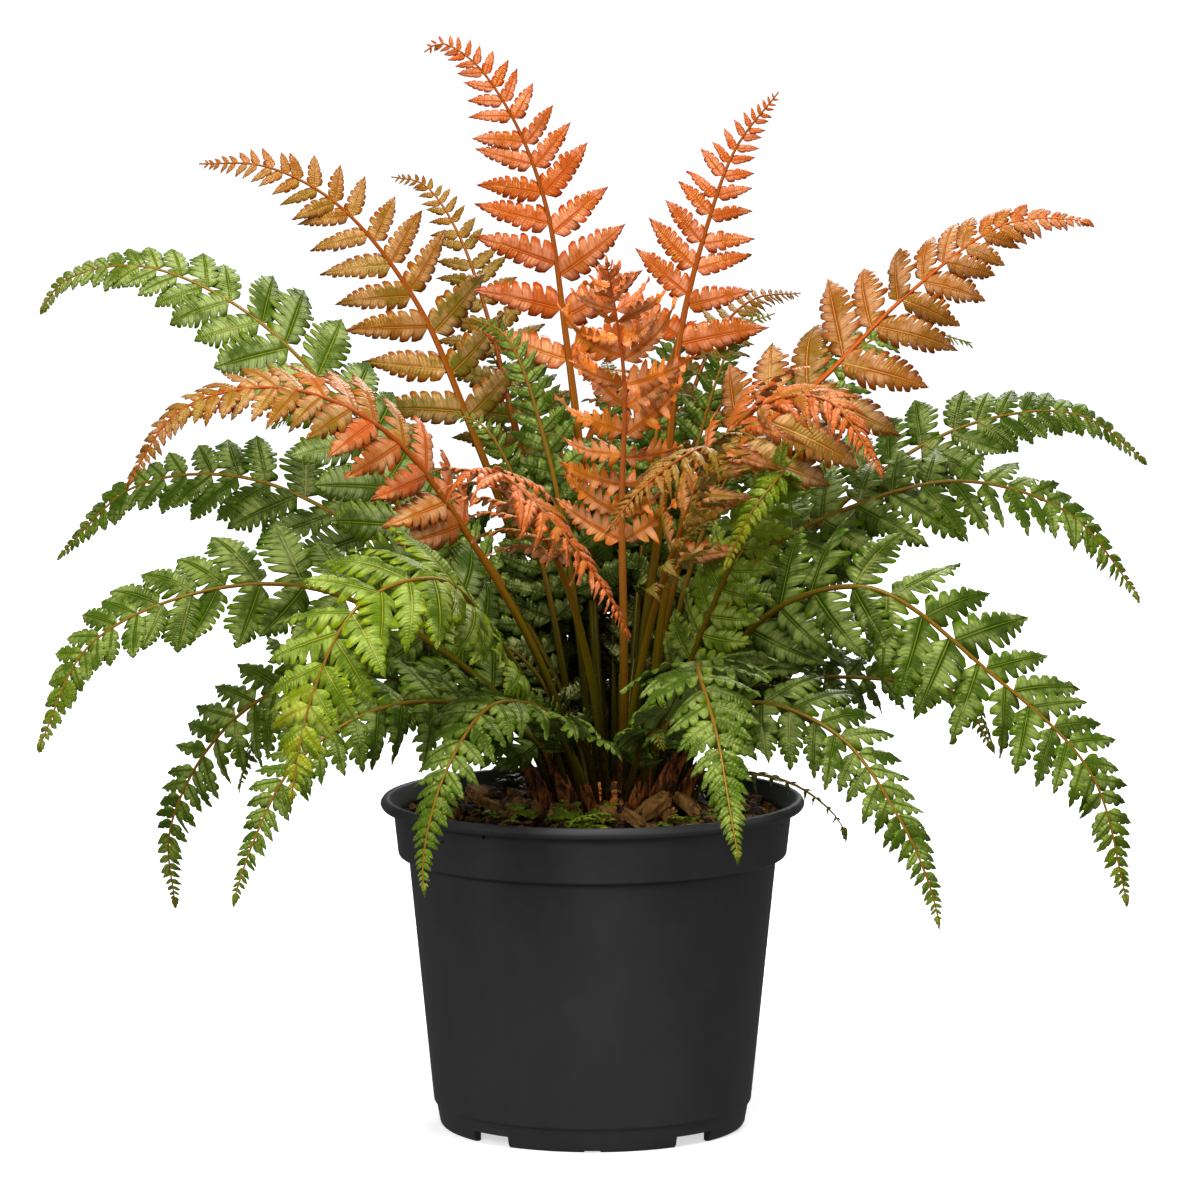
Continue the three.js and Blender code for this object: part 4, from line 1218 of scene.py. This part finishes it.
def add_stub(heap, x, y, lean_x, lean_y, length, width, dice):
    """A tapered stump with uneven sides and a torn, hollow top."""
    turns = np.arange(STUB_SIDES) * 2 * math.pi / STUB_SIDES
    torn = dice.uniform(0.72, 1.08, STUB_SIDES)
    ribs = 1 + 0.16 * dice.uniform(-1, 1, STUB_SIDES)
    rings = []
    for ring in range(STUB_RINGS):
        share = ring / (STUB_RINGS - 1)
        grow = mixed(1.15, 0.62, share) * width / 2 * ribs
        rise = np.minimum(share, torn) if ring == STUB_RINGS - 1 else share * torn.min() * 1.2
        bow = np.minimum(rise, 1) ** 1.4
        rings.append(np.column_stack([
            x + lean_x * bow + grow * np.cos(turns), y + lean_y * bow + grow * np.sin(turns),
            STUB_FOOT + length * rise * np.ones(STUB_SIDES)]))
    pit = rings[-1].mean(axis=0) - (0, 0, length * 0.25)
    points = np.vstack([*rings, pit]) * MM
    last = (STUB_RINGS - 1) * STUB_SIDES
    faces = ring_faces(STUB_RINGS, STUB_SIDES) + [tuple(reversed(range(STUB_SIDES)))]
    faces += [(last + i, last + (i + 1) % STUB_SIDES, len(points) - 1) for i in range(STUB_SIDES)]
    heap.add(points, faces, tone=dice.uniform(0.3, 0.9))


stubs = Heap("tone")
dice = np.random.default_rng(5)
for stub in STUBS:
    add_stub(stubs, *stub, dice)
stubs.piece("old_stubs", root_material, "rootstock", smooth_below=50)
print(len(STUBS), "stubs")

# %% Clothe crown and stalk feet in scales
SCALE_SHAPE = np.array([[-0.5, 0, 0], [0.5, 0, 0], [-0.42, 0.4, 0.06], [0.42, 0.4, 0.06],
                        [-0.2, 0.8, 0.02], [0.2, 0.8, 0.02], [0, 1, -0.04]])
SCALE_FACES = [(0, 1, 3, 2), (2, 3, 5, 4), (4, 5, 6)]
SCALE_RIM = [(0, 1), (1, 3), (3, 5), (5, 6), (6, 4), (4, 2), (2, 0)]
SCALE_THICKNESS = 0.12 * MM
SCALES_A_STALK = 16
SCALES_ON_CROWN = 360
BARE_SHARE = 0.36  # about how much of a frond is bare stalk


def add_scale(heap, place, outward, rising, length, width, dice):
    """A papery slip that stands on a surface at place and points along rising."""
    outward, rising = unit(outward), unit(rising)
    across = unit(np.cross(rising, outward))
    shape = SCALE_SHAPE * (width, length, length)
    top = place + shape[:, :1] * across + shape[:, 1:2] * rising + shape[:, 2:] * outward
    count = len(top)
    faces = SCALE_FACES + [tuple(count + i for i in reversed(face)) for face in SCALE_FACES]
    faces += [(b, a, count + a, count + b) for a, b in SCALE_RIM]
    heap.add(np.vstack([top, top - outward * SCALE_THICKNESS]), faces, tone=dice.random())


scales = Heap("tone")
dice = np.random.default_rng(8)
for frond in FRONDS:
    line = lines[frond.name]
    for _ in range(SCALES_A_STALK):
        place = dice.uniform(0.004, 0.055) * dice.uniform(0.35, 1)
        middle, along, up, across = line.frame(place)
        turn = dice.uniform(0, 2 * math.pi)
        outward = across * math.cos(turn) + up * math.sin(turn)
        half, _ = girth(place, BARE_SHARE * line.length, line.length, frond.longest * MM)
        rising = along + outward * dice.uniform(0.05, 0.5) + dice.normal(0, 0.12, 3)
        add_scale(scales, middle + outward * half * 0.92, outward, rising,
                  dice.uniform(3.5, 8) * MM, dice.uniform(0.5, 1.1) * MM, dice)
for _ in range(SCALES_ON_CROWN):
    azimuth, height = dice.uniform(0, 2 * math.pi), dice.uniform(0, 1)
    radius = mixed(31, 22, height**2)
    outward = np.array([math.cos(azimuth), math.sin(azimuth), 0.15 + height * 0.6])
    place = np.array([*CROWN_PLACE]) + np.array([*(outward[:2] * radius), 138 + height * 14]) * MM
    rising = np.array([0, 0, 1.0]) + outward * dice.uniform(0.1, 1.1) + dice.normal(0, 0.6, 3)
    add_scale(scales, place, outward, rising,
              dice.uniform(3, 6) * MM, dice.uniform(0.8, 2.2) * MM, dice)

chaff = Finish("papery_scale", roughness=0.6, specular=0.4)
tone = chaff.attribute("tone")
fibre = chaff.noise(600, detail=3)
chaff_colour = chaff.blend(tone.rising(0.3, 1), colour(30, 14, 3), colour(130, 72, 20))
chaff_colour = chaff.blend(fibre.rising(0.4, 0.7) * 0.5, chaff_colour, colour(44, 22, 5))
chaff_material = chaff.paint(chaff_colour, 0.5 + fibre * 0.25, fibre, 0.2 * MM)
scales.piece("papery_scales", chaff_material, "rootstock")
print(len(scales.faces), "faces of scales")

# %% [markdown]
# # Moss on the mix
#
# A few sprigs of moss and tiny new leaves have settled round the crown. Each sprig is a handful
# of small leaflets, shaped by the same rule as the big ones.

# %% Plant the sprigs
SPRIGS = (  # x, y and size in millimetres
    (-22, -50, 19), (-10, -56, 21), (-1, -48, 16), (-38, -40, 13), (40, -46, 12),
    (54, -30, 10), (52, 30, 13), (-30, 52, 14), (-58, 10, 12),
)
SPRIG_STEMS = 4
STEM_GIRTH = 0.1 * MM


def add_sprig(heap, x, y, size, dice):
    height = soil_height(math.hypot(x, y)) + 0.5
    longest, habit = size * 0.36 * MM, HABITS["sprig"]
    for _ in range(SPRIG_STEMS):
        yaw, rise = dice.uniform(0, 2 * math.pi), dice.uniform(0.25, 1.0)
        start = np.array([x + dice.normal(0, 1.6), y + dice.normal(0, 1.6), height])
        along = np.array([math.cos(yaw), math.sin(yaw), rise])
        route = [start, start + along * size * 0.5, start + along * size * (1, 1, 0.6)]
        line = FrondLine(route, (0, 0, 1), (0, 0, 1))
        for place in np.linspace(0.3, 0.95, 3) * line.length:
            for side in (1, -1):
                add_leaflet(heap, line, place, side, longest, STEM_GIRTH, habit, dice)


moss = Heap(*LEAFLET_VALUES)
dice = np.random.default_rng(31)
for sprig in SPRIGS:
    add_sprig(moss, *sprig, dice)
moss.piece("moss_sprigs", LEAVES["lime"], "lime_frond")
print(len(moss.faces), "faces of moss")

# %% [markdown]
# The end. The dressed plant has to stay in the imported model's box.

# %% Finish
print("done")
